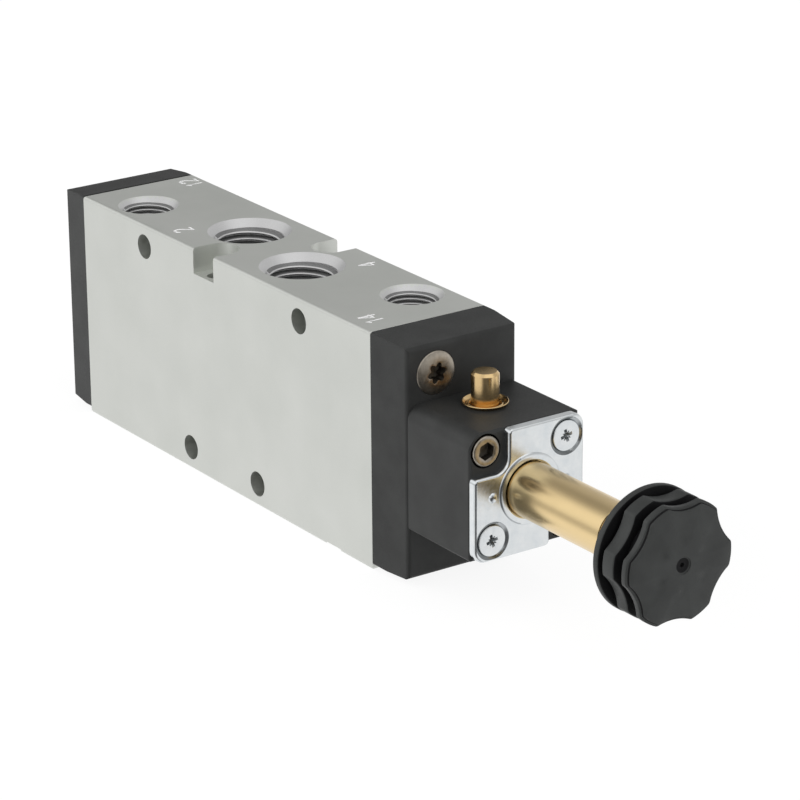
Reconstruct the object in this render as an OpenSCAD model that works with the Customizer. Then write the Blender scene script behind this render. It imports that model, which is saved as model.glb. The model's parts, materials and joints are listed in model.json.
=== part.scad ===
// Inline 5/2 spool valve with a solenoid pilot head, coil not fitted.
// X runs along the valve towards the coil nut, Z is up.
// The origin is the centre of the valve body's bottom face. Sizes are in millimetres.

/* [Valve body] */
// Length of the aluminium body along X
body_l = 99; // [96:0.5:104]
// Width of the body along Y
body_w = 25; // [25:0.5:28]
// Height of the body
body_h = 45; // [44:0.5:48]
// Radius on the body's outer edges
body_edge_r = 0.7; // [0.4:0.1:0.8]
// Height by which the body stands below the two end pieces
body_foot = 1; // [0.5:0.25:2]

/* [Ports] */
// Distance between neighbouring main ports along X
port_pitch = 11.7; // [11.6:0.1:12]
// Wall radius of the G1/4 main ports
main_port_r = 6.58; // [6.3:0.01:6.58]
// Depth of the top main ports, from the face
top_port_depth = 11; // [9:0.5:11]
// Depth of the bottom main ports, from the face
bottom_port_depth = 9.5; // [8.5:0.5:10]
// Radius of the mouth chamfer of a main port
main_mouth_r = 8; // [7.2:0.1:8]
// Radius of the air way from a main port to the spool bore
main_way_r = 4.4; // [3:0.1:4.5]
// Sideways offset of the two top main ports from the centre line
top_port_y = 1.75; // [0:0.05:2]
// Wall radius of the G1/8 pilot ports
pilot_port_r = 4.86; // [4.4:0.01:4.86]
// Depth of the pilot ports, from the face
pilot_port_depth = 8; // [7:0.5:8.5]
// Radius of the mouth chamfer of a pilot port
pilot_mouth_r = 5.9; // [5.4:0.1:6]
// Distance of the pilot ports from the body's middle along X
pilot_port_x = 37; // [36:0.5:38]
// Sideways offset of the pilot ports from the centre line
pilot_port_y = 5.2; // [4.5:0.1:5.5]
// Radius of the drilling from a pilot port to the body's end
pilot_way_r = 1.2; // [0.8:0.1:1.5]

/* [Fixing holes] */
// Radius of the four holes through the body's sides
side_hole_r = 2.4; // [2:0.1:2.5]
// Distance of the side holes from the top or bottom face
side_hole_inset = 4.4; // [4:0.1:4.8]
// Distance of the upper side holes from the body's middle along X
upper_hole_x = 26.75; // [25.5:0.25:27.5]
// Distance of the lower side holes from the body's middle along X
lower_hole_x = 11.7; // [11.5:0.1:11.9]
// Width of the two screw pockets in the top edges
pocket_w = 7; // [6:0.25:7]
// Depth of the screw pockets below the top face
pocket_depth = 5; // [4:0.25:6]
// Distance of the screw pockets from the body's middle along X
pocket_x = 5.5; // [5:0.25:5.5]
// Distance of a pocket's round end centre from the centre line
pocket_end_y = 8.5; // [8.5:0.25:9]
// Radius of the upright screw holes in the pockets
base_hole_r = 1.6; // [1.2:0.1:1.6]

/* [Spool and seals] */
// Radius of the spool bore
bore_r = 7.25; // [7:0.05:7.3]
// Radius of the spool's lands
spool_r = 4.5; // [4.3:0.05:4.6]
// Radius of the spool's necks
neck_r = 2.75; // [2.3:0.05:3.2]
// Travel of the spool
spool_stroke = 4.5; // [4.2:0.1:4.7]
// Width of a spool seal along X
seal_w = 2.4; // [2:0.1:2.5]
// Radius of the holes round each seal spacer
spacer_hole_r = 2; // [1.2:0.1:2.2]
// Radius of the piston's cylinder at the pilot end
cylinder_r = 9; // [8.6:0.05:9.2]
// Share of the room past the last seal that guides the spool
guide_share = 0.21; // [0.16:0.01:0.23]
// Share of that room that the spool fills in the piston's cylinder at rest
overhang_share = 0.34; // [0.29:0.01:0.36]
// Thickness of the rubber bumper on the piston
bumper_t = 1.8; // [1:0.1:2.2]
// Wire radius of the return spring
return_wire_r = 0.45; // [0.3:0.05:0.5]

/* [End pieces] */
// Thickness of the end cap
cap_l = 8; // [6.5:0.25:9]
// Length of the pilot adapter along X
adapter_l = 10; // [9:0.25:12]
// Draft of the adapter's sides over its length
adapter_draft = 0.8; // [0.2:0.1:1.2]
// Radius on the end pieces' outer edges
end_edge_r = 0.8; // [0.8:0.1:1.2]
// Thickness of the gaskets
gasket_t = 0.8; // [0.5:0.1:1]
// Sideways offset of the M4 end screws from the centre line
end_screw_y = 5.6; // [5:0.1:6.5]
// Place of the M4 heads between the block and the body's top: 0 is against the block
end_screw_share = 0.31; // [0:0.05:0.6]
// Shank radius of the M4 end screws
end_screw_r = 2; // [1.5:0.1:2]
// Head radius of the M4 end screws
end_head_r = 4; // [3.4:0.1:4.2]
// Length of the M4 screws' thread in the body
end_screw_grip = 9; // [7:0.5:10]

/* [Pilot block] */
// Length of the pilot block along X
block_l = 18.4; // [18.2:0.1:20]
// Half width of the pilot block, also its half height
block_half = 11.6; // [11.6:0.05:12]
// Radius on the block's upper long edge on the side of negative Y
block_near_r = 2.8; // [1.5:0.1:3]
// Radius on the block's upper long edge on the side of positive Y
block_far_r = 0.9; // [0.6:0.1:2.8]
// Radius on the block's front and lower edges
block_front_r = 0.6; // [0.4:0.1:1.2]
// Offset of the M3 block screws from the pilot axis, both ways
block_screw_off = 8.25; // [8:0.05:8.3]
// Shank radius of the M3 screws
small_screw_r = 1.5; // [1.2:0.1:1.5]
// Head radius of the M3 socket head screws
socket_head_r = 2.75; // [2.4:0.05:2.75]
// Head height of the M3 socket head screws
socket_head_h = 3; // [2.4:0.1:3]
// Length of the M3 socket head screws under the head
socket_screw_l = 20; // [18:0.5:22]

/* [Manual override] */
// Distance of the override pin from the block's rear face
pin_x = 6.9; // [6.6:0.1:7.2]
// Radius of the override pin
pin_r = 2.5; // [2.3:0.05:2.6]
// Height of the pin's top above the block
pin_reach = 6.1; // [5:0.1:7]
// Travel of the override pin
pin_stroke = 3; // [2:0.1:3.2]
// Radius of the override bush's lip
bush_lip_r = 4.15; // [4:0.05:4.4]
// Height of the bush's lip above the block
bush_lip_h = 0.7; // [0.4:0.05:0.9]

/* [Retaining plate] */
// Half width of the retaining plate
plate_half = 11.65; // [11.4:0.05:11.9]
// Thickness of the retaining plate
plate_t = 1.5; // [1.2:0.1:2]
// Distance of the plate's corner notches from the axis along Y
notch_y = 4.4; // [4.2:0.05:4.6]
// Distance of the plate's corner notches from the axis along Z
notch_z = 4; // [3.8:0.05:4.4]
// Radius in the inner corner of a plate notch
notch_r = 2.6; // [1.5:0.1:2.8]
// Offset of the plate's screws from the axis, both ways
plate_screw_off = 7.9; // [7.7:0.05:8]
// Head radius of the plate's countersunk screws
plate_head_r = 2.8; // [2.6:0.05:2.9]

/* [Stem and plunger] */
// Outer radius of the brass stem
stem_r = 5; // [4.8:0.05:5.1]
// Wall of the brass stem
stem_wall = 0.85; // [0.7:0.05:1]
// Length of the stem beyond the plate's front
stem_l = 36.6; // [35.6:0.1:36.8]
// Length of the stem's threaded end
stem_thread_l = 11.2; // [9.6:0.1:12]
// Length of the steel plunger
plunger_l = 22.6; // [21:0.1:24]
// Travel of the plunger towards the fixed core
plunger_stroke = 1; // [0.7:0.05:1.3]

/* [Coil nut] */
// Radius over the nut's lobes
knob_r = 11.1; // [10.6:0.1:11.5]
// Least radius of the nut, in its flutes
flute_r = 9.85; // [9.4:0.05:10]
// Number of lobes on the nut
lobes = 6; // [5:1:8]
// Turn of the first flute from the Y axis, in degrees
flute_turn = 26; // [0:1:59]
// Radius of the nut's round rear flange
knob_flange_r = 11.2; // [10.6:0.1:11.5]
// Radius of the nut between its discs
knob_core_r = 8.4; // [8.2:0.1:8.8]
// Distance of the nut's rear face from the plate's front
knob_x = 32.1; // [32:0.1:32.4]
// Thickness of the nut's rear flange
knob_flange_t = 1.4; // [1.3:0.1:1.6]
// Distance from the nut's rear face to its middle disc
middle_disc_x = 2.4; // [2.2:0.1:2.6]
// Thickness of the middle disc
middle_disc_t = 3; // [2.6:0.1:3.2]
// Distance from the nut's rear face to its front disc
front_disc_x = 7.5; // [7.3:0.1:7.6]
// Thickness of the front disc at its rim
front_disc_t = 1.7; // [1.5:0.1:1.9]
// Rise of the domed front over the rim
dome_h = 0.65; // [0.3:0.05:0.8]

/* [Clearances] */
// Radial clearance of pieces that slide or turn in each other
running_gap = 0.05; // [0.03:0.01:0.06]
// Clearance of a piece from the stop it rests near
stop_gap = 0.3; // [0.2:0.05:0.4]
// Clearance of a spring's ends from their seats
spring_gap = 0.15; // [0.1:0.05:0.2]

/* [Hidden] */

// Segments on round parts, on fine round parts and on coil springs
round_fn = 64;
small_fn = 32;
spring_segments = 14;
spring_sides = 8;
// Overlap that a cutting shape has past a face
past = 1;

// Colours of the finishes
aluminium = [0.76, 0.77, 0.75];
black_plastic = [0.14, 0.14, 0.15];
black_rubber = [0.08, 0.08, 0.08];
brass = [0.82, 0.67, 0.38];
bright_steel = [0.78, 0.79, 0.8];
dark_steel = [0.42, 0.38, 0.35];
spring_steel = [0.6, 0.6, 0.62];
seal_green = [0.2, 0.32, 0.24];
spacer_white = [0.85, 0.85, 0.8];

// Places along X, from the body's ends outwards
end_x = body_l / 2;
axis_z = body_h / 2;
block_x = end_x + adapter_l;
plate_x = block_x + block_l;
front_x = plate_x + plate_t;
stem_end_x = front_x + stem_l;
nut_x = front_x + knob_x;
end_low_z = body_foot;
end_high_z = body_h;

// The bottom ports have a smaller mouth chamfer than the top ones
bottom_mouth_less = 0.4;

// The upright screw holes run midway between the spool bore and the body's side
base_hole_y = (body_w / 2 + bore_r) / 2;

// Seals and spacers: one seal on each side of every main port
seal_count = 6;
spacer_l = port_pitch - seal_w;
stack_half = port_pitch * (seal_count - 1) / 2 + seal_w / 2;
function seal_x(i) = (i - (seal_count - 1) / 2) * port_pitch;
function spacer_x(i) = (i - (seal_count - 2) / 2) * port_pitch;
seal_seat_r = spool_r + 1.1;
spacer_in_r = spool_r + 0.9;
spacer_groove = 0.9;
spacer_rim = 1.2;
spacer_holes = 6;

// Spool, with its right end against the piston
end_room = end_x - stack_half;
cylinder_floor_x = stack_half + guide_share * end_room;
spool_right_x = cylinder_floor_x + overhang_share * end_room;
spool_left_x = -(stack_half + 2.6);
neck_half = (port_pitch + seal_w) / 2 - 0.5;
neck_taper = 0.8;
left_neck_x = (seal_x(1) + seal_x(2)) / 2 + spool_stroke / 2;
right_neck_x = (seal_x(3) + seal_x(4)) / 2 + spool_stroke / 2;
spigot_r = 2.2;
spigot_l = 2.6;
land_chamfer = 0.4;

// Piston and its seal
piston_r = cylinder_r - running_gap;
piston_l = end_x - stop_gap - bumper_t - spool_right_x;
piston_groove_r = cylinder_r - 1.9;
piston_groove_w = 2.4;
piston_groove_x = spool_right_x + piston_l * 0.42;
bumper_in_r = 1.6;
bumper_out_r = 4.4;

// Return spring, between its seat on the spool and the cap's pocket
seat_t = 1;
seat_r = 4.6;
sleeve_in_r = bore_r - 1.3;
cap_pocket_depth = cap_l / 2;
return_spring_r = seat_r - return_wire_r - 0.6;
return_spring_turns = 8;
return_low_x = -(end_x + cap_pocket_depth) + spring_gap;
return_high_x = spool_left_x - seat_t - spring_gap;

// End screws: the upper one to one side, the lower one to the other
end_screw_cone = end_head_r - end_screw_r;
end_screw_z = block_half + end_head_r
    + end_screw_share * (body_h / 2 - block_half - 2 * end_head_r);
end_head_dome = 0.5;
function end_screw_places(side) = [for (s = [-1, 1]) [-side * s * end_screw_y, axis_z + s * end_screw_z]];
end_tap_depth = end_screw_grip + 1.5;
gasket_inset = 1.7;
gasket_edge_r = 2;
pilot_way_z = body_h - pilot_port_depth + 2.5;
gasket_half_h = max(end_screw_z + end_screw_r + 0.7, pilot_way_z - axis_z + pilot_way_r + 1);

// Pilot block: seats, counterbores and the override bore
block_screw_gap = 0.1;
socket_seat_depth = socket_head_h - 0.3;
socket_seat_r = socket_head_r + 0.35;
socket_af_r = 1.44;
socket_depth = 1.6;
block_tap_l = socket_screw_l - (block_l - socket_seat_depth) + 0.8;
pin_axis_x = block_x + pin_x;
block_top_z = axis_z + block_half;
bush_out_r = pin_r + 1.1;
bush_l = 4;
bush_in_r = pin_r + running_gap;
collar_r = pin_r + 0.55;
collar_t = 1.6;
collar_top_z = block_top_z - bush_l - stop_gap;
collar_bore_r = collar_r + 0.15;
collar_bore_bottom_z = collar_top_z - collar_t - pin_stroke - stop_gap;
pin_bottom_z = axis_z - 2.5;
pin_bore_bottom_z = pin_bottom_z - 6.8;
pin_bore_r = pin_r + running_gap;
pin_groove_z = axis_z - 0.1;
o_ring_wire_r = 0.55;
pin_chamfer = 0.5;
override_spring_r = pin_r - 0.75;
override_wire_r = 0.25;

// Stem, its flange in the block, and the parts inside it
stem_in_r = stem_r - stem_wall;
stem_flange_r = stem_r + 1.3;
stem_flange_t = 1.6;
stem_spigot_l = 1.5;
stem_flange_x = plate_x - stem_flange_t;
stem_low_x = stem_flange_x - stem_spigot_l;
stem_spigot_r = stem_r - 0.25;
stem_seat_gap = 0.15;
stem_ring_wire_r = (stem_flange_r - stem_spigot_r) / 2 - 0.03;
chamber_floor_x = stem_low_x - 0.1;
stem_thread_x = stem_end_x - stem_thread_l;
relief_w = 0.6;
relief_depth = 0.35;
nozzle_base_r = 2;
nozzle_tip_r = 1.1;
nozzle_hole_r = 0.5;
nozzle_l = 3;
nozzle_tip_x = chamber_floor_x - 1.1;
armature_floor_x = nozzle_tip_x - 1.2;
armature_chamber_r = stem_in_r + 0.4;
seat_face_x = nozzle_tip_x + running_gap;
plunger_seal_r = 2.2;
plunger_seal_t = 1.9;
plunger_seal_reach = 0.3;
plunger_x = seat_face_x + plunger_seal_reach;
plunger_r = stem_in_r - running_gap;
plunger_end_x = plunger_x + plunger_l;
core_rest = 0.1;
core_x = plunger_end_x + plunger_stroke + core_rest;
plunger_well_r = 1.9;
plunger_well_l = 9;
plunger_spring_r = 1.35;
plunger_wire_r = 0.25;
plunger_slot_depth = 0.5;
plunger_slot_w = 1.2;

// Plate: raised ring round the stem, dimples and countersinks
plate_hole_r = stem_r + 0.2;
ring_r = stem_flange_r + 0.1;
ring_h = 0.3;
dimple_y = 7.8;
dimple_r = 0.9;
dimple_h = 0.5;
plate_corner_r = 2.4;
plate_tip_r = 0.9;
sink_r = plate_head_r + 0.55;
sink_lip = 0.35;
plate_screw_l = 8;
cross_w = 0.8;
cross_l = 2.9;
cross_depth = 1.1;

// Coil nut: places of its discs and of what it holds
flute_arc_r = 10.2;
insert_r = 6.8;
insert_l = 5;
insert_groove = 0.5;
washer_t = 1;
washer_out_r = 7.3;
washer_in_r = stem_r + stop_gap;
washer_bore_r = washer_out_r + stop_gap;
washer_seat = washer_t + 0.1;
insert_x = nut_x + washer_seat;
insert_end_x = insert_x + insert_l;
nut_travel = 3;
nut_cavity_x = stem_end_x + nut_travel + stop_gap;
nut_rim_x = nut_x + front_disc_x + front_disc_t;
nut_edge = 0.4;
dent_r = 0.9;
dent_depth = 0.45;
dome_steps = 6;

// Turns of a shape drawn in a plane into the solid's directions
module extrude_x(x0, x1) {
    translate([x0, 0, 0]) rotate([90, 0, 90]) linear_extrude(x1 - x0) children();
}

module extrude_y(y0, y1) {
    translate([0, y1, 0]) rotate([90, 0, 0]) linear_extrude(y1 - y0) children();
}

module extrude_z(z0, z1) {
    translate([0, 0, z0]) linear_extrude(z1 - z0) children();
}

// A round bar along X on the spool's axis, or at y and z
module bar_x(x0, x1, r, y = 0, z = axis_z, fn = round_fn) {
    translate([x0, y, z]) rotate([0, 90, 0]) cylinder(h = x1 - x0, r = r, $fn = fn);
}

// A cone along X from radius r0 at x0 to radius r1 at x1
module cone_x(x0, x1, r0, r1, y = 0, z = axis_z) {
    translate([x0, y, z]) rotate([0, 90, 0]) cylinder(h = x1 - x0, r1 = r0, r2 = r1, $fn = round_fn);
}

// A solid of revolution about the spool's axis, from points of [radius, x]
module turned(points) {
    translate([0, 0, axis_z]) rotate([0, 90, 0]) rotate_extrude($fn = round_fn) polygon(points);
}

// A ring of round section about the spool's axis
module round_ring(x, ring_radius, wire_r) {
    translate([x, 0, axis_z]) rotate([0, 90, 0]) rotate_extrude($fn = round_fn)
        translate([ring_radius, 0]) circle(r = wire_r, $fn = small_fn);
}

// What a round corner takes off a rectangle's corner at x, y
module corner_cut(x, y, sx, sy, r) {
    if (r > 0) translate([x, y]) difference() {
        translate([sx > 0 ? -past : -r, sy > 0 ? -past : -r]) square(r + past);
        translate([sx * r, sy * r]) circle(r = r, $fn = small_fn);
    }
}

// A rectangle with its own radius at the low, right, far and left corners
module soft_rect(x0, y0, x1, y1, r00, r10, r11, r01) {
    difference() {
        translate([x0, y0]) square([x1 - x0, y1 - y0]);
        corner_cut(x0, y0, 1, 1, r00);
        corner_cut(x1, y0, -1, 1, r10);
        corner_cut(x1, y1, -1, -1, r11);
        corner_cut(x0, y1, 1, -1, r01);
    }
}

// What a round corner takes off a drafted side where it meets the narrow end.
// The side runs from x0, y0 to x1, y1, and out is 1 or -1 for the way it faces.
module draft_corner_cut(x0, y0, x1, y1, out, r) {
    dir = x1 > x0 ? 1 : -1;
    lean = atan(abs(y0 - y1) / abs(x1 - x0));
    reach = r + past;
    centre = [x1 - dir * r, y1 + (y0 - y1) * r / abs(x1 - x0) - out * r / cos(lean)];
    side_normal = [dir * sin(lean), out * cos(lean)];
    end_normal = [dir, 0];
    difference() {
        polygon([centre, centre + reach * side_normal,
            centre + reach * (side_normal + end_normal), centre + reach * end_normal]);
        translate(centre) circle(r = r, $fn = small_fn);
    }
}

// A trapezium along the first axis that narrows from x0 to x1, with round corners at x1
module drafted(x0, x1, low0, low1, high0, high1, r) {
    difference() {
        polygon([[x0, low0], [x0, high0], [x1, high1], [x1, low1]]);
        draft_corner_cut(x0, high0, x1, high1, 1, r);
        draft_corner_cut(x0, low0, x1, low1, -1, r);
    }
}

// A coil spring along +Z from its own start, as one swept wire
module coil_spring(mean_r, wire_r, length, turns) {
    steps = ceil(turns * spring_segments);
    rise = length - 2 * wire_r;
    slope = rise / (turns * 2 * PI * mean_r);
    norm = sqrt(1 + slope * slope);
    points = [for (i = [0 : steps]) let (a = 360 * turns * i / steps)
        for (k = [0 : spring_sides - 1]) let (b = 360 * k / spring_sides)
            [cos(a) * (mean_r + wire_r * cos(b)) + sin(a) * wire_r * sin(b) * slope / norm,
             sin(a) * (mean_r + wire_r * cos(b)) - cos(a) * wire_r * sin(b) * slope / norm,
             wire_r + rise * i / steps + wire_r * sin(b) / norm]];
    sides = [for (i = [0 : steps - 1]) for (k = [0 : spring_sides - 1])
        let (n = (k + 1) % spring_sides, p = i * spring_sides, q = p + spring_sides)
            [p + k, q + k, q + n, p + n]];
    start = [[for (k = [0 : spring_sides - 1]) k]];
    finish = [[for (k = [spring_sides - 1 : -1 : 0]) steps * spring_sides + k]];
    polyhedron(points, concat(sides, start, finish), convexity = 10);
}

// Valve body: the cuts first, one module for each kind
module port(x, y, r, depth, mouth_r) {
    translate([x, y, 0]) {
        translate([0, 0, -depth]) cylinder(h = depth + past, r = r, $fn = round_fn);
        translate([0, 0, r - mouth_r])
            cylinder(h = mouth_r - r + 0.01, r1 = r, r2 = mouth_r + 0.01, $fn = round_fn);
    }
}

module main_way(x, y, z0, z1) {
    translate([x, y, z0]) cylinder(h = z1 - z0, r = main_way_r, $fn = round_fn);
}

module top_ports() {
    for (s = [-1, 1]) {
        translate([0, 0, body_h])
            port(s * port_pitch, -s * top_port_y, main_port_r, top_port_depth, main_mouth_r);
        main_way(s * port_pitch, -s * top_port_y, axis_z, body_h - top_port_depth + 0.5);
        translate([0, 0, body_h])
            port(s * pilot_port_x, s * pilot_port_y, pilot_port_r, pilot_port_depth, pilot_mouth_r);
        bar_x(s > 0 ? pilot_port_x : -end_x - past, s > 0 ? end_x + past : -pilot_port_x, pilot_way_r,
            s * pilot_port_y, pilot_way_z, small_fn);
    }
}

module bottom_ports() {
    for (i = [-2, 0, 2]) {
        mirror([0, 0, 1])
            port(i * port_pitch, 0, main_port_r, bottom_port_depth, main_mouth_r - bottom_mouth_less);
        main_way(i * port_pitch, 0, bottom_port_depth - 0.5, axis_z);
    }
}

module side_holes() {
    for (s = [-1, 1]) {
        translate([s * upper_hole_x, 0, body_h - side_hole_inset]) rotate([90, 0, 0])
            cylinder(h = body_w + 2 * past, r = side_hole_r, center = true, $fn = round_fn);
        translate([s * lower_hole_x, 0, side_hole_inset]) rotate([90, 0, 0])
            cylinder(h = body_w + 2 * past, r = side_hole_r, center = true, $fn = round_fn);
    }
}

module screw_pockets() {
    for (s = [-1, 1]) rotate([0, 0, s > 0 ? 180 : 0]) {
        translate([-pocket_x, -pocket_end_y, body_h - pocket_depth]) {
            cylinder(h = pocket_depth + past, r = pocket_w / 2, $fn = round_fn);
            translate([-pocket_w / 2, -body_w / 2, 0]) cube([pocket_w, body_w / 2, pocket_depth + past]);
        }
        translate([-pocket_x, -base_hole_y, -past]) cylinder(h = body_h, r = base_hole_r, $fn = round_fn);
    }
}

// Shallow round facings that break the bottom's long edges
module bottom_facings() {
    facing_r = 5.9;
    facing_y = 7;
    facing_depth = 0.6;
    for (s = [-1, 1])
        translate([s * pilot_port_x, -s * facing_y, -past])
            cylinder(h = past + facing_depth, r = facing_r, $fn = round_fn);
}

module spool_bores() {
    bar_x(-end_x - past, stack_half, bore_r);
    bar_x(0, cylinder_floor_x + past, spool_r + running_gap);
    bar_x(cylinder_floor_x, end_x + past, cylinder_r);
}

module end_taps() {
    for (p = end_screw_places(1)) bar_x(end_x - end_tap_depth, end_x + past, end_screw_r, p.x, p.y);
    for (p = end_screw_places(-1)) bar_x(-end_x - past, -end_x + end_tap_depth, end_screw_r, p.x, p.y);
}

module valve_body() {
    color(aluminium) difference() {
        intersection() {
            extrude_x(-end_x, end_x) soft_rect(-body_w / 2, 0, body_w / 2, body_h,
                body_edge_r, body_edge_r, body_edge_r, body_edge_r);
            extrude_y(-body_w, body_w) soft_rect(-end_x, 0, end_x, body_h,
                body_edge_r, body_edge_r, body_edge_r, body_edge_r);
        }
        top_ports();
        bottom_ports();
        side_holes();
        screw_pockets();
        bottom_facings();
        spool_bores();
        end_taps();
    }
}

// Gasket outline in the Y-Z plane, open over the bore and up to the pilot drilling
module gasket_shape(side, hole_r) {
    difference() {
        soft_rect(-body_w / 2 + gasket_inset, axis_z - gasket_half_h, body_w / 2 - gasket_inset,
            axis_z + gasket_half_h, gasket_edge_r, gasket_edge_r, gasket_edge_r, gasket_edge_r);
        gasket_opening(side, hole_r);
    }
}

module gasket_opening(side, hole_r) {
    translate([0, axis_z]) circle(r = hole_r, $fn = round_fn);
    translate([side * pilot_port_y, pilot_way_z]) circle(r = pilot_way_r + 0.4, $fn = small_fn);
    translate([side * pilot_port_y - pilot_way_r - 0.4, axis_z + hole_r / 2])
        square([2 * pilot_way_r + 0.8, pilot_way_z - axis_z - hole_r / 2]);
}

module gasket(side, hole_r) {
    x0 = side > 0 ? end_x : -end_x - gasket_t;
    difference() {
        extrude_x(x0, x0 + gasket_t) gasket_shape(side, hole_r);
        for (p = end_screw_places(side)) bar_x(x0 - past, x0 + gasket_t + past, end_screw_r + 0.2, p.x, p.y);
    }
}

// The air slot from the pilot drilling to the middle, in an end piece's inner face
module air_slot(side, depth) {
    slot_r = pilot_way_r;
    x0 = side > 0 ? end_x - past : -end_x - depth;
    extrude_x(x0, x0 + depth + past) {
        translate([side * pilot_port_y, pilot_way_z]) circle(r = slot_r, $fn = small_fn);
        translate([side * pilot_port_y - slot_r, axis_z]) square([2 * slot_r, pilot_way_z - axis_z]);
    }
}

module end_cap() {
    outer = -end_x - cap_l;
    tip = cap_l / 12;
    color(black_plastic) difference() {
        intersection() {
            extrude_z(0, body_h + past) drafted(-end_x, outer, -body_w / 2, -body_w / 2 + tip,
                body_w / 2, body_w / 2 - tip, end_edge_r);
            extrude_y(-body_w, body_w) drafted(-end_x, outer, end_low_z, end_low_z + tip,
                end_high_z, end_high_z - tip, end_edge_r);
            extrude_x(outer - past, past) soft_rect(-body_w / 2, end_low_z, body_w / 2, end_high_z,
                body_edge_r, body_edge_r, body_edge_r, body_edge_r);
        }
        extrude_x(-end_x - gasket_t, -end_x + past) gasket_shape(-1, sleeve_in_r);
        bar_x(-end_x - cap_pocket_depth, -end_x + past, sleeve_in_r - 0.4);
        air_slot(-1, gasket_t + 1.2);
        for (p = end_screw_places(-1)) {
            bar_x(outer - past, -end_x + past, end_screw_r + 0.1, p.x, p.y);
            cone_x(outer - 0.01, outer + end_screw_cone + 0.1, end_head_r + 0.1, end_screw_r, p.x, p.y);
        }
    }
}

module end_cap_gasket() {
    color(black_rubber) gasket(-1, sleeve_in_r);
}

// A raised countersunk screw along X: head face at x, shank towards the valve's middle
module end_screw(x, y, z, length, dir) {
    translate([x, y, z]) rotate([0, dir > 0 ? -90 : 90, 0]) difference() {
        union() {
            cylinder(h = length, r = end_screw_r - 0.02, $fn = round_fn);
            cylinder(h = end_screw_cone, r1 = end_head_r, r2 = end_screw_r - 0.02, $fn = round_fn);
            mirror([0, 0, 1]) rotate_extrude($fn = round_fn) polygon([[0, 0], [end_head_r, 0],
                for (a = [15 : 15 : 90]) [end_head_r * cos(a), end_head_dome * sin(a)]]);
        }
        translate([0, 0, -past]) linear_extrude(past + 1.6) six_lobe();
    }
}

// The six-lobe driver recess of the end screws
module six_lobe() {
    lobe_ring_r = end_head_r * 0.375;
    circle(r = lobe_ring_r, $fn = small_fn);
    for (k = [0 : 5]) rotate(60 * k) translate([lobe_ring_r, 0])
        circle(r = lobe_ring_r * 0.29, $fn = small_fn);
}

module end_cap_screws() {
    color(dark_steel) for (p = end_screw_places(-1))
        end_screw(-end_x - cap_l, p.x, p.y, cap_l + end_screw_grip, -1);
}

module pilot_adapter() {
    top_draft = adapter_draft * 0.8;
    foot_draft = adapter_draft * 0.4;
    color(black_plastic) difference() {
        intersection() {
            extrude_z(0, body_h + past) drafted(end_x, block_x, -body_w / 2, -body_w / 2 + adapter_draft,
                body_w / 2, body_w / 2 - adapter_draft, end_edge_r);
            extrude_y(-body_w, body_w) drafted(end_x, block_x, end_low_z, end_low_z + foot_draft,
                end_high_z, end_high_z - top_draft, end_edge_r);
            extrude_x(0, block_x + past) soft_rect(-body_w / 2, end_low_z, body_w / 2, end_high_z,
                body_edge_r, body_edge_r, body_edge_r, body_edge_r);
        }
        extrude_x(end_x - past, end_x + gasket_t) gasket_shape(1, cylinder_r);
        air_slot(1, gasket_t + 1.2);
        for (p = end_screw_places(1)) {
            bar_x(end_x - past, block_x + past, end_screw_r + 0.1, p.x, p.y);
            cone_x(block_x - end_screw_cone - 0.1, block_x + 0.01, end_screw_r, end_head_r + 0.1, p.x, p.y);
        }
        for (s = [-1, 1]) bar_x(block_x - block_tap_l, block_x + past, small_screw_r,
            -s * block_screw_off, axis_z + s * block_screw_off);
    }
}

module adapter_gasket() {
    color(black_rubber) gasket(1, cylinder_r);
}

module adapter_screws() {
    color(dark_steel) for (p = end_screw_places(1))
        end_screw(block_x, p.x, p.y, adapter_l + end_screw_grip, 1);
}

// Spool with a spigot on the left and two necks that open one seal each
module spool() {
    color(aluminium) turned([[0, spool_left_x - spigot_l], [spigot_r - 0.3, spool_left_x - spigot_l],
        [spigot_r, spool_left_x - spigot_l + 0.3], [spigot_r, spool_left_x],
        [spool_r - land_chamfer, spool_left_x], [spool_r, spool_left_x + land_chamfer],
        for (n = [left_neck_x, right_neck_x]) for (p = [[spool_r, n - neck_half],
            [neck_r, n - neck_half + neck_taper], [neck_r, n + neck_half - neck_taper],
            [spool_r, n + neck_half]]) p,
        [spool_r, spool_right_x - land_chamfer], [spool_r - land_chamfer, spool_right_x],
        [0, spool_right_x]]);
}

// Flanged cup on the spool's spigot, which carries the return spring
module spring_seat() {
    color(spring_steel) turned([[spigot_r, spool_left_x - seat_t], [seat_r, spool_left_x - seat_t],
        [seat_r, spool_left_x], [spigot_r, spool_left_x]]);
}

module return_spring() {
    color(spring_steel) translate([return_low_x, 0, axis_z]) rotate([0, 90, 0])
        coil_spring(return_spring_r, return_wire_r, return_high_x - return_low_x, return_spring_turns);
}

// Sleeve that holds the seal stack in place from the spring end
module stack_sleeve() {
    stack_out_r = bore_r - running_gap;
    color(brass) turned([[sleeve_in_r, -end_x], [stack_out_r - 0.4, -end_x], [stack_out_r, -end_x + 0.4],
        [stack_out_r, -stack_half], [spool_r + 0.4, -stack_half], [spool_r + 0.4, -stack_half - 1],
        [sleeve_in_r, -stack_half - 1]]);
}

// One seal: a rubber ring with a round bead that meets the spool
module seal_ring(i) {
    color(seal_green) translate([seal_x(i), 0, axis_z]) rotate([0, 90, 0]) rotate_extrude($fn = round_fn) {
        bead_r = seal_w / 2 - 0.1;
        translate([seal_seat_r, -seal_w / 2]) square([bore_r - running_gap - seal_seat_r, seal_w]);
        translate([spool_r + running_gap + bead_r, 0]) circle(r = bead_r, $fn = small_fn);
    }
}

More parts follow.
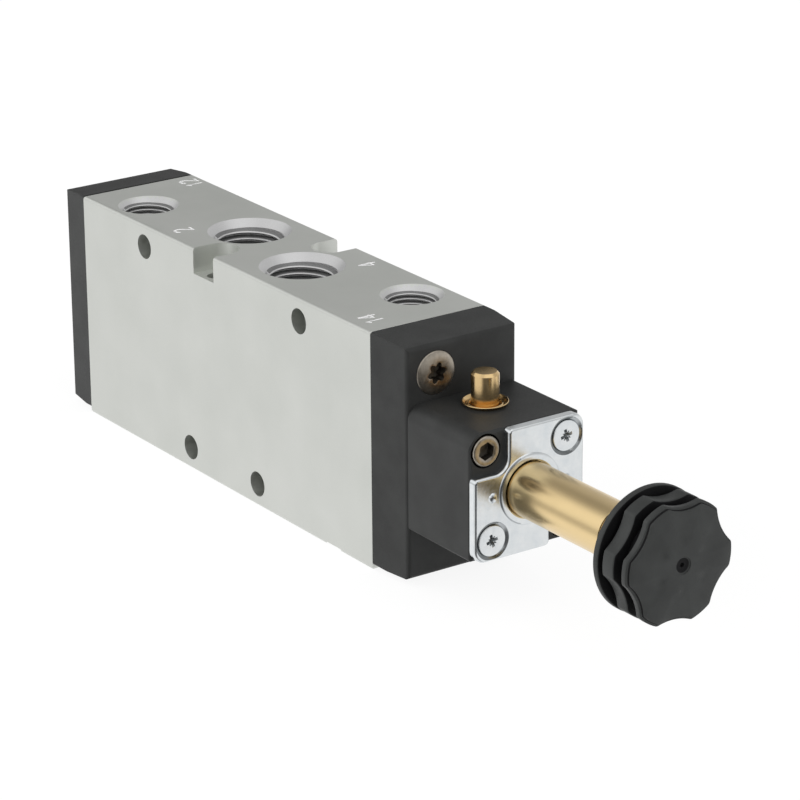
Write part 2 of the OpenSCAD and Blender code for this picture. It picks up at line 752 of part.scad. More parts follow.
// One spacer: a cage ring with a groove outside and holes for the air
module seal_spacer(i) {
    out_r = bore_r - running_gap;
    h = spacer_l / 2;
    color(spacer_white) translate([spacer_x(i), 0, axis_z]) rotate([0, 90, 0]) difference() {
        rotate_extrude($fn = round_fn) polygon([[spacer_in_r, -h], [out_r, -h], [out_r, -h + spacer_rim],
            [out_r - spacer_groove, -h + spacer_rim], [out_r - spacer_groove, h - spacer_rim],
            [out_r, h - spacer_rim], [out_r, h], [spacer_in_r, h]]);
        for (k = [0 : spacer_holes - 1]) rotate([0, 90, 360 * (k + 0.5) / spacer_holes])
            cylinder(h = bore_r + past, r = spacer_hole_r, $fn = small_fn);
    }
}

// Piston that pushes the spool over when the pilot opens
module piston() {
    right_x = spool_right_x + piston_l;
    chamfer = 0.5;
    color(black_plastic) turned([[0, spool_right_x], [piston_r - chamfer, spool_right_x],
        [piston_r, spool_right_x + chamfer], [piston_r, piston_groove_x - piston_groove_w / 2],
        [piston_groove_r, piston_groove_x - piston_groove_w / 2],
        [piston_groove_r, piston_groove_x + piston_groove_w / 2],
        [piston_r, piston_groove_x + piston_groove_w / 2], [piston_r, right_x - chamfer],
        [piston_r - chamfer, right_x], [0, right_x]]);
}

// Lip seal in the piston's groove, with its mouth to the pilot side
module piston_seal() {
    w = piston_groove_w - 0.2;
    lip_r = cylinder_r - running_gap / 2;
    mid_r = (piston_groove_r + lip_r) / 2;
    color(black_rubber) turned([[piston_groove_r, piston_groove_x - w / 2], [mid_r, piston_groove_x - w / 2],
        [lip_r - 0.3, piston_groove_x - w / 2 + 0.3], [lip_r, piston_groove_x + w / 2],
        [lip_r - 0.5, piston_groove_x + w / 2], [mid_r, piston_groove_x],
        [piston_groove_r + 0.5, piston_groove_x + w / 2], [piston_groove_r, piston_groove_x + w / 2]]);
}

module piston_bumper() {
    x0 = spool_right_x + piston_l;
    color(black_rubber) turned([[bumper_in_r, x0], [bumper_out_r, x0], [bumper_out_r, x0 + bumper_t - 0.5],
        [bumper_out_r - 0.5, x0 + bumper_t], [bumper_in_r + 0.5, x0 + bumper_t],
        [bumper_in_r, x0 + bumper_t - 0.5]]);
}

// Pilot block: the moulded body that holds the stem and the override
module block_form() {
    intersection() {
        extrude_x(block_x, plate_x) soft_rect(-block_half, axis_z - block_half, block_half, block_top_z,
            block_front_r, block_front_r, block_far_r, block_near_r);
        extrude_y(-body_w, body_w) soft_rect(block_x, axis_z - block_half, plate_x, block_top_z,
            0, block_front_r, block_front_r, 0);
        extrude_z(0, body_h) soft_rect(block_x, -block_half, plate_x, block_half,
            0, block_front_r, block_front_r, 0);
    }
}

module block_gasket_shape() {
    inset = 1.6;
    lo = axis_z - block_half + inset;
    hi = block_top_z - inset;
    difference() {
        soft_rect(-block_half + inset, lo, block_half - inset, hi,
            gasket_edge_r, gasket_edge_r, gasket_edge_r, gasket_edge_r);
        translate([0, axis_z]) circle(r = stem_in_r, $fn = round_fn);
    }
}

module override_bore() {
    translate([pin_axis_x, 0, 0]) {
        translate([0, 0, pin_bore_bottom_z])
            cylinder(h = block_top_z - pin_bore_bottom_z + past, r = pin_bore_r, $fn = round_fn);
        translate([0, 0, collar_bore_bottom_z])
            cylinder(h = block_top_z - collar_bore_bottom_z, r = collar_bore_r, $fn = round_fn);
        translate([0, 0, block_top_z - bush_l]) cylinder(h = bush_l + past, r = bush_out_r, $fn = round_fn);
    }
}

module stem_seat() {
    bar_x(chamber_floor_x, plate_x + past, stem_flange_r + stem_seat_gap);
    bar_x(armature_floor_x, plate_x, armature_chamber_r);
    bar_x(armature_floor_x - nozzle_l + 1.2, plate_x, nozzle_base_r);
}

module pilot_block() {
    color(black_plastic) difference() {
        block_form();
        extrude_x(block_x - past, block_x + gasket_t) block_gasket_shape();
        override_bore();
        stem_seat();
        for (s = [-1, 1]) {
            bar_x(block_x - past, plate_x + past, small_screw_r + block_screw_gap,
                -s * block_screw_off, axis_z + s * block_screw_off);
            bar_x(plate_x - socket_seat_depth, plate_x + past, socket_seat_r,
                -s * block_screw_off, axis_z + s * block_screw_off);
            bar_x(plate_x - plate_screw_l, plate_x + past, small_screw_r,
                s * plate_screw_off, axis_z + s * plate_screw_off);
        }
    }
}

module block_gasket() {
    color(black_rubber) difference() {
        extrude_x(block_x, block_x + gasket_t) block_gasket_shape();
        for (s = [-1, 1]) bar_x(block_x - past, block_x + gasket_t + past, small_screw_r + 0.2,
            -s * block_screw_off, axis_z + s * block_screw_off);
    }
}

// Socket head cap screws that hold the block to the adapter
module block_screws() {
    head_x = plate_x - socket_seat_depth;
    chamfer = 0.3;
    color(dark_steel) for (s = [-1, 1])
        translate([0, -s * block_screw_off, s * block_screw_off]) difference() {
            turned([[0, head_x - socket_screw_l], [small_screw_r - 0.4, head_x - socket_screw_l],
                [small_screw_r - 0.02, head_x - socket_screw_l + 0.4], [small_screw_r - 0.02, head_x],
                [socket_head_r, head_x], [socket_head_r, head_x + socket_head_h - chamfer],
                [socket_head_r - chamfer, head_x + socket_head_h], [0, head_x + socket_head_h]]);
            bar_x(head_x + socket_head_h - socket_depth, head_x + socket_head_h + past, socket_af_r, fn = 6);
        }
}

// Push pin of the manual override, with its collar and seal groove
module override_pin() {
    top_z = block_top_z + pin_reach;
    groove_r = pin_r - 2 * o_ring_wire_r;
    groove_h = 2 * o_ring_wire_r + 0.2;
    color(brass) translate([pin_axis_x, 0, 0]) rotate_extrude($fn = round_fn) polygon([
        [0, pin_bottom_z], [pin_r - 0.3, pin_bottom_z], [pin_r, pin_bottom_z + 0.3],
        [pin_r, pin_groove_z - groove_h / 2], [groove_r, pin_groove_z - groove_h / 2],
        [groove_r, pin_groove_z + groove_h / 2], [pin_r, pin_groove_z + groove_h / 2],
        [pin_r, collar_top_z - collar_t], [collar_r, collar_top_z - collar_t], [collar_r, collar_top_z],
        [pin_r, collar_top_z], [pin_r, top_z - pin_chamfer], [pin_r - pin_chamfer, top_z], [0, top_z]]);
}

// Flanged brass bush pressed into the block, with a flared mouth
module override_bush() {
    lip_z = block_top_z + bush_lip_h;
    mouth_r = bush_lip_r - 0.6;
    color(brass) translate([pin_axis_x, 0, 0]) rotate_extrude($fn = round_fn) polygon([
        [bush_in_r, block_top_z - bush_l], [bush_out_r, block_top_z - bush_l], [bush_out_r, block_top_z],
        [bush_lip_r - 0.2, block_top_z], [bush_lip_r, block_top_z + 0.2], [bush_lip_r, lip_z - 0.15],
        [bush_lip_r - 0.15, lip_z], [mouth_r, lip_z], [mouth_r, lip_z - 0.3], [mouth_r - 0.25, lip_z - 0.3],
        [bush_in_r, lip_z - 1.3]]);
}

module override_o_ring() {
    ring_radius = pin_r - o_ring_wire_r + 0.03;
    color(black_rubber) translate([pin_axis_x, 0, pin_groove_z]) rotate_extrude($fn = round_fn)
        translate([ring_radius, 0]) circle(r = o_ring_wire_r, $fn = small_fn);
}

module override_spring() {
    color(spring_steel) translate([pin_axis_x, 0, pin_bore_bottom_z + spring_gap])
        coil_spring(override_spring_r, override_wire_r, pin_bottom_z - pin_bore_bottom_z - 2 * spring_gap, 6);
}

// Pilot seat that the plunger's seal closes
module pilot_nozzle() {
    base_x = armature_floor_x - nozzle_l + 1.2;
    color(brass) difference() {
        turned([[0, base_x], [nozzle_base_r, base_x], [nozzle_base_r, armature_floor_x],
            [nozzle_tip_r + 0.3, armature_floor_x], [nozzle_tip_r, nozzle_tip_x], [0, nozzle_tip_x]]);
        bar_x(base_x - past, nozzle_tip_x + past, nozzle_hole_r, fn = small_fn);
    }
}

// Half of the retaining plate's outline is the other half turned round the axis
module plate_shape() {
    translate([0, axis_z]) difference() {
        soft_rect(-plate_half, -plate_half, plate_half, plate_half,
            plate_corner_r, 0, plate_corner_r, 0);
        for (s = [0, 180]) rotate(s) {
            difference() {
                translate([-plate_half - past, notch_z]) square([plate_half + past - notch_y, plate_half]);
                corner_cut(-notch_y, notch_z, -1, 1, notch_r);
            }
            corner_cut(-plate_half, notch_z, 1, -1, plate_tip_r);
            corner_cut(-notch_y, plate_half, 1, -1, plate_tip_r);
        }
    }
}

module plate_dimple(y) {
    bar_x(front_x - 0.2, front_x + 0.2, dimple_r, y, fn = small_fn);
    cone_x(front_x + 0.2, front_x + dimple_h, dimple_r, dimple_r * 0.45, y);
}

module retaining_plate() {
    color(bright_steel) difference() {
        union() {
            extrude_x(plate_x, front_x) plate_shape();
            turned([[plate_hole_r, plate_x], [ring_r, plate_x], [ring_r, front_x],
                [ring_r - ring_h, front_x + ring_h], [plate_hole_r, front_x + ring_h]]);
            for (s = [-1, 1]) plate_dimple(s * dimple_y);
        }
        bar_x(plate_x - past, front_x + past, plate_hole_r);
        for (s = [-1, 1]) {
            y = s * plate_screw_off;
            z = axis_z + s * plate_screw_off;
            bar_x(plate_x - past, front_x + past, small_screw_r + 0.1, y, z);
            cone_x(front_x - sink_lip, front_x + 0.01, plate_head_r + 0.05, sink_r + 0.01, y, z);
            cone_x(plate_x, front_x - sink_lip + 0.01, small_screw_r + 0.1, plate_head_r + 0.05, y, z);
        }
    }
}

// Countersunk screws with a cross recess that hold the plate
module plate_screws() {
    head_x = front_x - 0.1;
    seat_x = front_x - sink_lip;
    color(bright_steel) for (s = [-1, 1])
        translate([0, s * plate_screw_off, s * plate_screw_off]) difference() {
            turned([[0, plate_x - plate_screw_l + 0.6], [small_screw_r - 0.4, plate_x - plate_screw_l + 0.6],
                [small_screw_r - 0.02, plate_x - plate_screw_l + 1], [small_screw_r - 0.02, plate_x],
                [small_screw_r, plate_x], [plate_head_r, seat_x], [plate_head_r, head_x - 0.1],
                [plate_head_r - 0.1, head_x], [0, head_x]]);
            for (a = [0, 90]) translate([head_x - cross_depth, 0, axis_z]) rotate([a, 0, 0])
                translate([0, -cross_l / 2, -cross_w / 2]) cube([cross_depth + past, cross_l, cross_w]);
        }
}

// Brass stem: flange and spigot in the block, bare tube, relief and threaded end
module stem_tube() {
    tip = 0.5;
    color(brass) turned([[stem_in_r, stem_low_x], [stem_spigot_r, stem_low_x], [stem_spigot_r, stem_flange_x],
        [stem_flange_r, stem_flange_x], [stem_flange_r, plate_x], [stem_r, plate_x],
        [stem_r, stem_thread_x], [stem_r - relief_depth, stem_thread_x + 0.1],
        [stem_r - relief_depth, stem_thread_x + relief_w - 0.1], [stem_r, stem_thread_x + relief_w],
        [stem_r, stem_end_x - tip], [stem_r - tip, stem_end_x], [stem_in_r, stem_end_x]]);
}

module stem_o_ring() {
    color(black_rubber) round_ring(stem_flange_x - stem_ring_wire_r - 0.02,
        (stem_flange_r + stem_spigot_r) / 2, stem_ring_wire_r);
}

// Fixed core pressed into the stem's end
module fixed_core() {
    core_r = stem_in_r - 0.01;
    end = stem_end_x - 0.4;
    color(bright_steel) turned([[0, core_x], [core_r - 0.3, core_x], [core_r, core_x + 0.3],
        [core_r, end], [0, end]]);
}

// Steel plunger with side slots for the air, a seal in its nose and a well for its spring
module plunger() {
    color(bright_steel) difference() {
        turned([[0, plunger_x], [plunger_r - 0.5, plunger_x], [plunger_r, plunger_x + 0.5],
            [plunger_r, plunger_end_x - 0.3], [plunger_r - 0.3, plunger_end_x], [0, plunger_end_x]]);
        bar_x(plunger_x - past, plunger_x - plunger_seal_reach + plunger_seal_t, plunger_seal_r);
        bar_x(plunger_end_x - plunger_well_l, plunger_end_x + past, plunger_well_r);
        for (s = [0, 180]) translate([plunger_x - past, 0, axis_z]) rotate([s, 0, 0])
            translate([0, plunger_r - plunger_slot_depth, -plunger_slot_w / 2])
                cube([plunger_l + 2 * past, plunger_slot_depth + past, plunger_slot_w]);
    }
}

module plunger_seal() {
    x0 = plunger_x - plunger_seal_reach;
    color(black_rubber) turned([[0, x0], [plunger_seal_r - 0.3, x0], [plunger_seal_r, x0 + 0.3],
        [plunger_seal_r, x0 + plunger_seal_t], [0, x0 + plunger_seal_t]]);
}

module plunger_spring() {
    low_x = plunger_end_x - plunger_well_l + spring_gap;
    color(spring_steel) translate([low_x, 0, axis_z]) rotate([0, 90, 0])
        coil_spring(plunger_spring_r, plunger_wire_r, core_x - spring_gap - low_x, 9);
}

// Outline of the nut's lobed discs
module lobed_disc() {
    difference() {
        circle(r = knob_r, $fn = round_fn);
        for (k = [0 : lobes - 1]) rotate(flute_turn + 360 * k / lobes)
            translate([flute_r + flute_arc_r, 0]) circle(r = flute_arc_r, $fn = round_fn);
    }
}

// A lobed disc from x0 to x1
module nut_disc(x0, x1) {
    translate([0, 0, axis_z]) extrude_x(x0, x1) lobed_disc();
}

// Front disc with a soft front edge and a low dome
module nut_front() {
    x0 = nut_x + front_disc_x;
    dome_r = (knob_r * knob_r + dome_h * dome_h) / (2 * dome_h);
    intersection() {
        nut_disc(x0, nut_rim_x + dome_h + past);
        turned([[0, x0], [knob_r + past, x0], [knob_r + past, nut_rim_x - nut_edge - past],
            [knob_r, nut_rim_x - nut_edge], [knob_r - nut_edge, nut_rim_x],
            for (i = [dome_steps - 1 : -1 : 0]) let (r = knob_r * i / dome_steps)
                [r, nut_rim_x + dome_h - dome_r + sqrt(dome_r * dome_r - r * r)]]);
    }
}

module knob() {
    color(black_plastic) difference() {
        union() {
            bar_x(nut_x, nut_x + knob_flange_t, knob_flange_r);
            bar_x(nut_x, nut_x + front_disc_x + 0.1, knob_core_r);
            nut_disc(nut_x + middle_disc_x, nut_x + middle_disc_x + middle_disc_t);
            nut_front();
        }
        bar_x(nut_x - past, insert_x, washer_bore_r);
        bar_x(nut_x, insert_end_x, insert_r);
        bar_x(nut_x, nut_cavity_x, stem_r + 0.4);
        cone_x(nut_rim_x + dome_h - dent_depth, nut_rim_x + dome_h + 0.01, dent_r * 0.3, dent_r);
    }
}

// Threaded brass insert moulded into the nut, grooved so that it can't pull out
module knob_insert() {
    in_r = stem_r + running_gap;
    mid = (insert_x + insert_end_x) / 2;
    color(brass) turned([[in_r, insert_x], [insert_r, insert_x], [insert_r, mid - 0.6],
        [insert_r - insert_groove, mid - 0.6], [insert_r - insert_groove, mid + 0.6],
        [insert_r, mid + 0.6], [insert_r, insert_end_x], [in_r, insert_end_x]]);
}

// Rubber washer that the nut presses on the coil
module knob_washer() {
    color(black_rubber) turned([[washer_in_r, nut_x], [washer_out_r - 0.2, nut_x],
        [washer_out_r, nut_x + 0.2], [washer_out_r, nut_x + washer_t], [washer_in_r, nut_x + washer_t]]);
}

valve_body();
end_cap();
end_cap_gasket();
end_cap_screws();
pilot_adapter();
adapter_gasket();
adapter_screws();
spool();
spring_seat();
return_spring();
stack_sleeve();
seal_ring(0);  // seal_ring_1
seal_ring(1);  // seal_ring_2
seal_ring(2);  // seal_ring_3
seal_ring(3);  // seal_ring_4
seal_ring(4);  // seal_ring_5
seal_ring(5);  // seal_ring_6
seal_spacer(0);  // seal_spacer_1
seal_spacer(1);  // seal_spacer_2
seal_spacer(2);  // seal_spacer_3
seal_spacer(3);  // seal_spacer_4
seal_spacer(4);  // seal_spacer_5
piston();
piston_seal();
piston_bumper();
pilot_block();
block_gasket();
block_screws();
override_pin();
override_bush();
override_o_ring();
override_spring();
pilot_nozzle();
retaining_plate();
plate_screws();
stem_tube();
stem_o_ring();
fixed_core();
plunger();
plunger_seal();
plunger_spring();
knob();
knob_insert();
knob_washer();
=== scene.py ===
# %% [markdown]
# # An inline solenoid valve, ready for its portrait
# The valve is a block of satin aluminium with threaded ports, closed by two black end pieces.
# A small pilot head carries a brass stem, and the nut that would hold a coil sits on its end.
# This lesson loads the measured model first. Then it gives each surface its finish, and makes
# the details that a drawing leaves out: threads, engraved numbers, drive recesses, pressed edges.

# %% Open the measured model
import json
import math
from contextlib import contextmanager

import bmesh
import bpy
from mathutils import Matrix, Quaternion, Vector


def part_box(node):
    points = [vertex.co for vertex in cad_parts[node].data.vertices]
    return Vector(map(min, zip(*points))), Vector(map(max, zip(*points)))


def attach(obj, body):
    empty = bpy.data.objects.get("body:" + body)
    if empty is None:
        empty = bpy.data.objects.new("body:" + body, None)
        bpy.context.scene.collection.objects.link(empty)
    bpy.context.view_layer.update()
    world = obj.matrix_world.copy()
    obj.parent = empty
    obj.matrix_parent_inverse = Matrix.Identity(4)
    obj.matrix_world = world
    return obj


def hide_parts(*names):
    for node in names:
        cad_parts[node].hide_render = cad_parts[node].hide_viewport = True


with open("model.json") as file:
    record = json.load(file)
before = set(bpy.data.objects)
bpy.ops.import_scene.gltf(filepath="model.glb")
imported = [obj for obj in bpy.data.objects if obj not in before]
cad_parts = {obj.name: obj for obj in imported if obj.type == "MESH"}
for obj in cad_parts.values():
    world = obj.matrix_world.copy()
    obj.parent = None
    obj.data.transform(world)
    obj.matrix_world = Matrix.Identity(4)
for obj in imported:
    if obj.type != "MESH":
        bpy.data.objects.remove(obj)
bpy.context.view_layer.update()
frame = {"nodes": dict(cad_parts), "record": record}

MM = 0.001
nodes = frame["nodes"]
print("pieces in the model:", len(nodes))

# %% [markdown]
# ## Where things are
# Every place below comes from the model, so nothing has to be fitted by eye. The spool, the stem
# and the nut share one axis along X. The box of a part gives its two faces along that axis.

# %% Read the main places, in millimetres
def span(node, direction):
    """Lowest and highest place of a part along one direction: 0 is X, 1 is Y and 2 is Z."""
    low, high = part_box(node)
    return low[direction] / MM, high[direction] / MM


BODY_TOP = span("valve_body", 2)[1]
BODY_END = span("valve_body", 0)[1]
AXIS_Z = sum(span("stem_tube", 2)) / 2
PLATE_BACK = span("retaining_plate", 0)[0]
PLATE_HALF = span("retaining_plate", 1)[1]
NUT_BACK, NUT_FRONT = span("knob", 0)
STEM_END = span("stem_tube", 0)[1]
BLOCK_TOP = span("pilot_block", 2)[1]
PIN_X = sum(span("override_pin", 0)) / 2
print("axis height", round(AXIS_Z, 2), "plate", round(PLATE_BACK, 2), "nut", round(NUT_BACK, 2))

# %% [markdown]
# ## The camera
# A photograph of a product is taken from far off with a long lens, which keeps the edges nearly
# parallel. The camera stands to the right and in front, and looks down by about 20 degrees.

# %% Place the camera
EYE = Vector((550.1, -351.5, 257.1)) * MM
LOOK_AROUND = math.radians(55.409)
LOOK_DOWN = math.radians(20.392)
CAMERA_ROLL = math.radians(-0.475)
LENS_MM = 165.71

bpy.ops.object.select_all(action="DESELECT")
bpy.ops.object.camera_add(location=EYE)
camera = bpy.context.object
camera.name = "portrait_camera"
towards_eye = Vector((
    math.sin(LOOK_AROUND) * math.cos(LOOK_DOWN),
    -math.cos(LOOK_AROUND) * math.cos(LOOK_DOWN),
    math.sin(LOOK_DOWN)))
camera.rotation_mode = "QUATERNION"
roll = Quaternion((0, 0, 1), CAMERA_ROLL)
camera.rotation_quaternion = (-towards_eye).to_track_quat("-Z", "Y") @ roll
camera.data.lens = LENS_MM
camera.data.sensor_width = 36
camera.data.clip_start = 0.01
bpy.context.scene.camera = camera
bpy.context.scene.view_settings.view_transform = "Standard"
print("lens", camera.data.lens, "mm")

# %% [markdown]
# ## Writing a finish as a recipe
# A material is a net of nodes, which is hard to read as a list of links. Three small classes help.
# A `Flow` is a value on its way between nodes, and sums on it add the Math nodes by themselves.
# A `Net` adds any other node in one line. A `Finish` is the net of one material.

# %% The three classes
class Flow:
    """A value that one node hands to the next."""

    def __init__(self, net, socket):
        self.net = net
        self.socket = socket

    def __add__(self, other):
        return self.net.sum("ADD", self, other)

    def __sub__(self, other):
        return self.net.sum("SUBTRACT", self, other)

    def __rsub__(self, other):
        return self.net.sum("SUBTRACT", other, self)

    def __mul__(self, other):
        return self.net.sum("MULTIPLY", self, other)

    def __truediv__(self, other):
        return self.net.sum("DIVIDE", self, other)

    __radd__ = __add__
    __rmul__ = __mul__


class Net:
    """The nodes of a material or of the world."""

    def __init__(self, tree):
        self.tree = tree

    def plug(self, socket, value):
        if isinstance(value, Flow):
            self.tree.links.new(value.socket, socket)
        else:
            socket.default_value = value

    def node(self, kind, settings, inputs, out=0):
        """Adds a node: its settings first, then the values or links of its inputs."""
        made = self.tree.nodes.new("ShaderNode" + kind)
        for key, value in settings.items():
            if key == "stops":
                self.set_stops(made.color_ramp, value)
            else:
                setattr(made, key, value)
        for key, value in inputs.items():
            self.plug(made.inputs[key], value)
        return None if out is None else Flow(self, made.outputs[out])

    def set_stops(self, ramp, stops):
        while len(ramp.elements) < len(stops):
            ramp.elements.new(0.5)
        for element, (place, colour) in zip(ramp.elements, stops):
            element.position = place
            element.color = colour

    def sum(self, operation, first, second):
        return self.node("Math", {"operation": operation}, {0: first, 1: second})

    def seen(self):
        """1 for what the camera sees, also in a mirror or through glass, and 0 for soft light."""
        rays = [self.node("LightPath", {}, {}, kind) for kind in
            ("Is Camera Ray", "Is Glossy Ray", "Is Transmission Ray")]
        return self.sum("MAXIMUM", self.sum("MAXIMUM", rays[0], rays[1]), rays[2])


class Finish(Net):
    """One material, with a Principled shader at its end."""

    def __init__(self, name, **fixed):
        self.material = bpy.data.materials.new(name)
        self.material.use_nodes = True
        super().__init__(self.material.node_tree)
        self.shader = self.tree.nodes["Principled BSDF"]
        for key, value in fixed.items():
            self.feed(key.replace("_", " ").title().replace("Ior", "IOR"), value)

    def feed(self, name, value):
        """Sets an input of the shader, or links a flow to it."""
        self.plug(self.shader.inputs[name], value)

    def place(self):
        """The place on the part, in metres, which stays with the part as it moves."""
        return self.node("TexCoord", {}, {}, "Object")

    def noise(self, size_mm, detail, stretch=(1, 1, 1)):
        """Cloudy grain with spots of about that size, drawn out along a direction by stretch."""
        spot = self.node("Mapping", {}, {"Vector": self.place(), "Scale": stretch})
        scale = 1 / (size_mm * MM)
        return self.node("TexNoise", {}, {"Vector": spot, "Scale": scale, "Detail": detail})

    def range(self, flow, low, high):
        """Stretches a flow from 0.3 to 0.7, where noise mostly lies, to the range low to high."""
        return self.node("MapRange", {}, {"Value": flow, "From Min": 0.3, "From Max": 0.7,
            "To Min": low, "To Max": high})

    def blend(self, factor, first, second):
        """A colour between two colours."""
        return self.node("Mix", {"data_type": "RGBA"}, {"Factor": factor, 6: first, 7: second}, 2)

    def bump(self, height, depth_mm, strength):
        """Small relief: a height of 1 stands that far out of the surface, at full strength."""
        self.feed("Normal", self.node("Bump", {}, {
            "Height": height, "Distance": depth_mm * MM, "Strength": strength}))


def grey(level):
    return (level, level, level, 1)


# %% [markdown]
# ## Satin aluminium
# The body is sawn from a drawn bar, blasted with fine beads and anodised clear. That gives a
# pale, even grey with a soft sheen. Fine grain in the relief breaks the reflections up, and a
# broad, faint cloud keeps the large side from looking like paper.

# %% Aluminium finishes
def satin_aluminium():
    finish = Finish("satin_aluminium", metallic=1.0)
    grain = finish.noise(0.22, 3.0)
    shade = finish.range(finish.noise(14.0, 3.0), 0.0, 1.0)
    finish.feed("Base Color", finish.blend(shade, (0.700, 0.715, 0.680, 1), (0.745, 0.757, 0.724, 1)))
    finish.feed("Roughness", finish.range(grain, 0.50, 0.58))
    finish.bump(grain, 0.008, 0.4)
    return finish.material


def machined_aluminium(name, dark, light):
    finish = Finish(name, metallic=1.0)
    marks = finish.noise(0.16, 2.0)
    shade = finish.range(marks, 0.0, 1.0)
    finish.feed("Base Color", finish.blend(shade, grey(dark), grey(light)))
    finish.feed("Roughness", finish.range(marks, 0.46, 0.54))
    return finish.material


def engraved_aluminium():
    finish = Finish("engraved_aluminium", metallic=0.15, roughness=0.45)
    chatter = finish.noise(0.3, 2.0)
    finish.feed("Base Color", finish.blend(finish.range(chatter, 0.0, 1.0), grey(0.90), grey(1.0)))
    return finish.material


# %% [markdown]
# ## Moulded plastic and rubber
# Glass-filled nylon is never pure black. It is a very dark grey with a fine eroded grain from
# the mould, and its sheen varies a little from place to place.

# %% Plastic and rubber finishes
def moulded(name, colour, roughness, grain_mm, grain_depth, sheen=0.3):
    finish = Finish(name, specular_ior_level=sheen)
    grain = finish.noise(grain_mm, 3.0)
    shade = finish.range(finish.noise(5.0, 2.0), 0.0, 1.0)
    light = tuple(c * 1.2 for c in colour) + (1,)
    dark = tuple(c * 0.85 for c in colour) + (1,)
    finish.feed("Base Color", finish.blend(shade, dark, light))
    finish.feed("Roughness", finish.range(grain, roughness - 0.05, roughness + 0.06))
    finish.bump(grain, grain_depth, 0.5)
    return finish.material


# %% [markdown]
# ## Brass, zinc and steel
# Turned brass carries rings round its axis that are finer than a hair, so they only change how
# sharp it mirrors. Noise that is stretched until rings are left does that. The zinc-plated sheet
# has a cool tint and faint clouds, and the screws are blackened steel. Their edges get a bright
# steel, rubbed wear with a painted highlight, and darker copies paint shade into the recesses.

# %% Metal finishes
def turned_metal(name, colour, low, high, ring_mm=0.5, stretch=(1, 0.05, 0.05)):
    finish = Finish(name, metallic=1.0)
    rings = finish.noise(ring_mm, 3.0, stretch)
    shade = finish.range(finish.noise(4.0, 3.0), 0.0, 1.0)
    worn = tuple(c * 0.96 for c in colour) + (1,)
    finish.feed("Base Color", finish.blend(shade, worn, colour + (1,)))
    finish.feed("Roughness", finish.range(rings, low, high))
    return finish.material


def sheet_zinc(name, dark, light):
    finish = Finish(name, metallic=1.0)
    cloud = finish.noise(2.4, 3.0)
    finish.feed("Base Color", finish.blend(finish.range(cloud, 0.0, 1.0), dark, light))
    finish.feed("Roughness", finish.range(finish.noise(0.5, 2.0), 0.20, 0.27))
    finish.bump(cloud, 0.01, 0.5)
    return finish.material


def blackened_steel(name, dark, light, low, high):
    finish = Finish(name, metallic=1.0)
    wear = finish.noise(0.7, 4.0)
    finish.feed("Base Color", finish.blend(finish.range(wear, 0.0, 1.0), dark, light))
    finish.feed("Roughness", finish.range(wear, low, high))
    finish.bump(wear, 0.006, 0.4)
    return finish.material


FINISHES = {
    "body_aluminium": satin_aluminium(),
    "spool_aluminium": machined_aluminium("machined_aluminium", 0.68, 0.76),
    "black_plastic": moulded("grained_black_plastic", (0.0265, 0.0273, 0.0267), 0.52, 0.20, 0.012),
    "nut_plastic": moulded("satin_black_plastic", (0.033, 0.0350, 0.0340), 0.48, 0.26, 0.012),
    "black_rubber": moulded("black_rubber", (0.010, 0.010, 0.010), 0.62, 0.15, 0.01),
    "seal_rubber": moulded("green_rubber", (0.04, 0.07, 0.05), 0.6, 0.15, 0.01),
    "spacer_plastic": moulded("ivory_plastic", (0.62, 0.60, 0.54), 0.5, 0.2, 0.01, 0.5),
    "dark_screw_steel": blackened_steel(
        "blackened_steel", (0.34, 0.305, 0.255, 1), (0.48, 0.435, 0.37, 1), 0.30, 0.38),
    "zinc_plate": sheet_zinc("zinc_sheet", (0.70, 0.735, 0.755, 1), (0.79, 0.81, 0.815, 1)),
    "core_steel": turned_metal("ground_steel", (0.60, 0.60, 0.61), 0.25, 0.36),
    "spring_steel": turned_metal("spring_wire", (0.52, 0.52, 0.54), 0.25, 0.4),
    "satin_brass": turned_metal("satin_brass", (0.83, 0.635, 0.34), 0.24, 0.255),
    "polished_brass": turned_metal(
        "polished_brass", (0.78, 0.56, 0.285), 0.20, 0.26, 0.5, (0.05, 0.05, 1)),
}
# A darker copy of the machined finish for the thread flanks: painted shade
thread_flank = machined_aluminium("thread_flank", 0.22, 0.32)
# A darker plastic for painted shade in the nut's grooves and on its rim step, and for its gate mark
gate_and_shade_plastic = moulded("gate_mark_plastic", (0.007, 0.007, 0.0075), 0.6, 0.2, 0.01, 0.15)
# A dark copy of the blackened steel for the drive recesses: painted shade
recess_steel = blackened_steel("recess_steel", (0.10, 0.09, 0.075, 1), (0.17, 0.155, 0.13, 1), 0.4, 0.5)
# A light copy of the blackened steel for the bevelled edges: rubbed wear with a painted highlight
rubbed_steel = blackened_steel(
    "rubbed_steel", (0.66, 0.61, 0.54, 1), (0.88, 0.83, 0.76, 1), 0.42, 0.52)
shaded_zinc = sheet_zinc("shaded_zinc", (0.16, 0.175, 0.18, 1), (0.26, 0.275, 0.28, 1))
# A darker zinc for painted shade on the plate's rolled edge and in the cross recesses
rolled_zinc = sheet_zinc("rolled_zinc", (0.40, 0.425, 0.44, 1), (0.50, 0.52, 0.53, 1))
engraved = engraved_aluminium()
slot_of = {row["node"]: row["material_slot"] for row in frame["record"]["subparts"]}
for name, node in nodes.items():
    node.data.materials.clear()
    node.data.materials.append(FINISHES[slot_of[name]])
print("finishes:", len(FINISHES))

# %% [markdown]
# ## Tools for the bench
# Each new piece starts as a primitive and is shaped in edit mode. These helpers keep the steps
# short: deselect everything, add one primitive, choose faces by a test, and apply a modifier.

# %% Helpers for modelling
def start(add, name, **size):
    """Adds one primitive with nothing else selected, and names it."""
    bpy.ops.object.select_all(action="DESELECT")
    add(**size)
    piece = bpy.context.object
    piece.name = name
    piece.data.name = name
    return piece


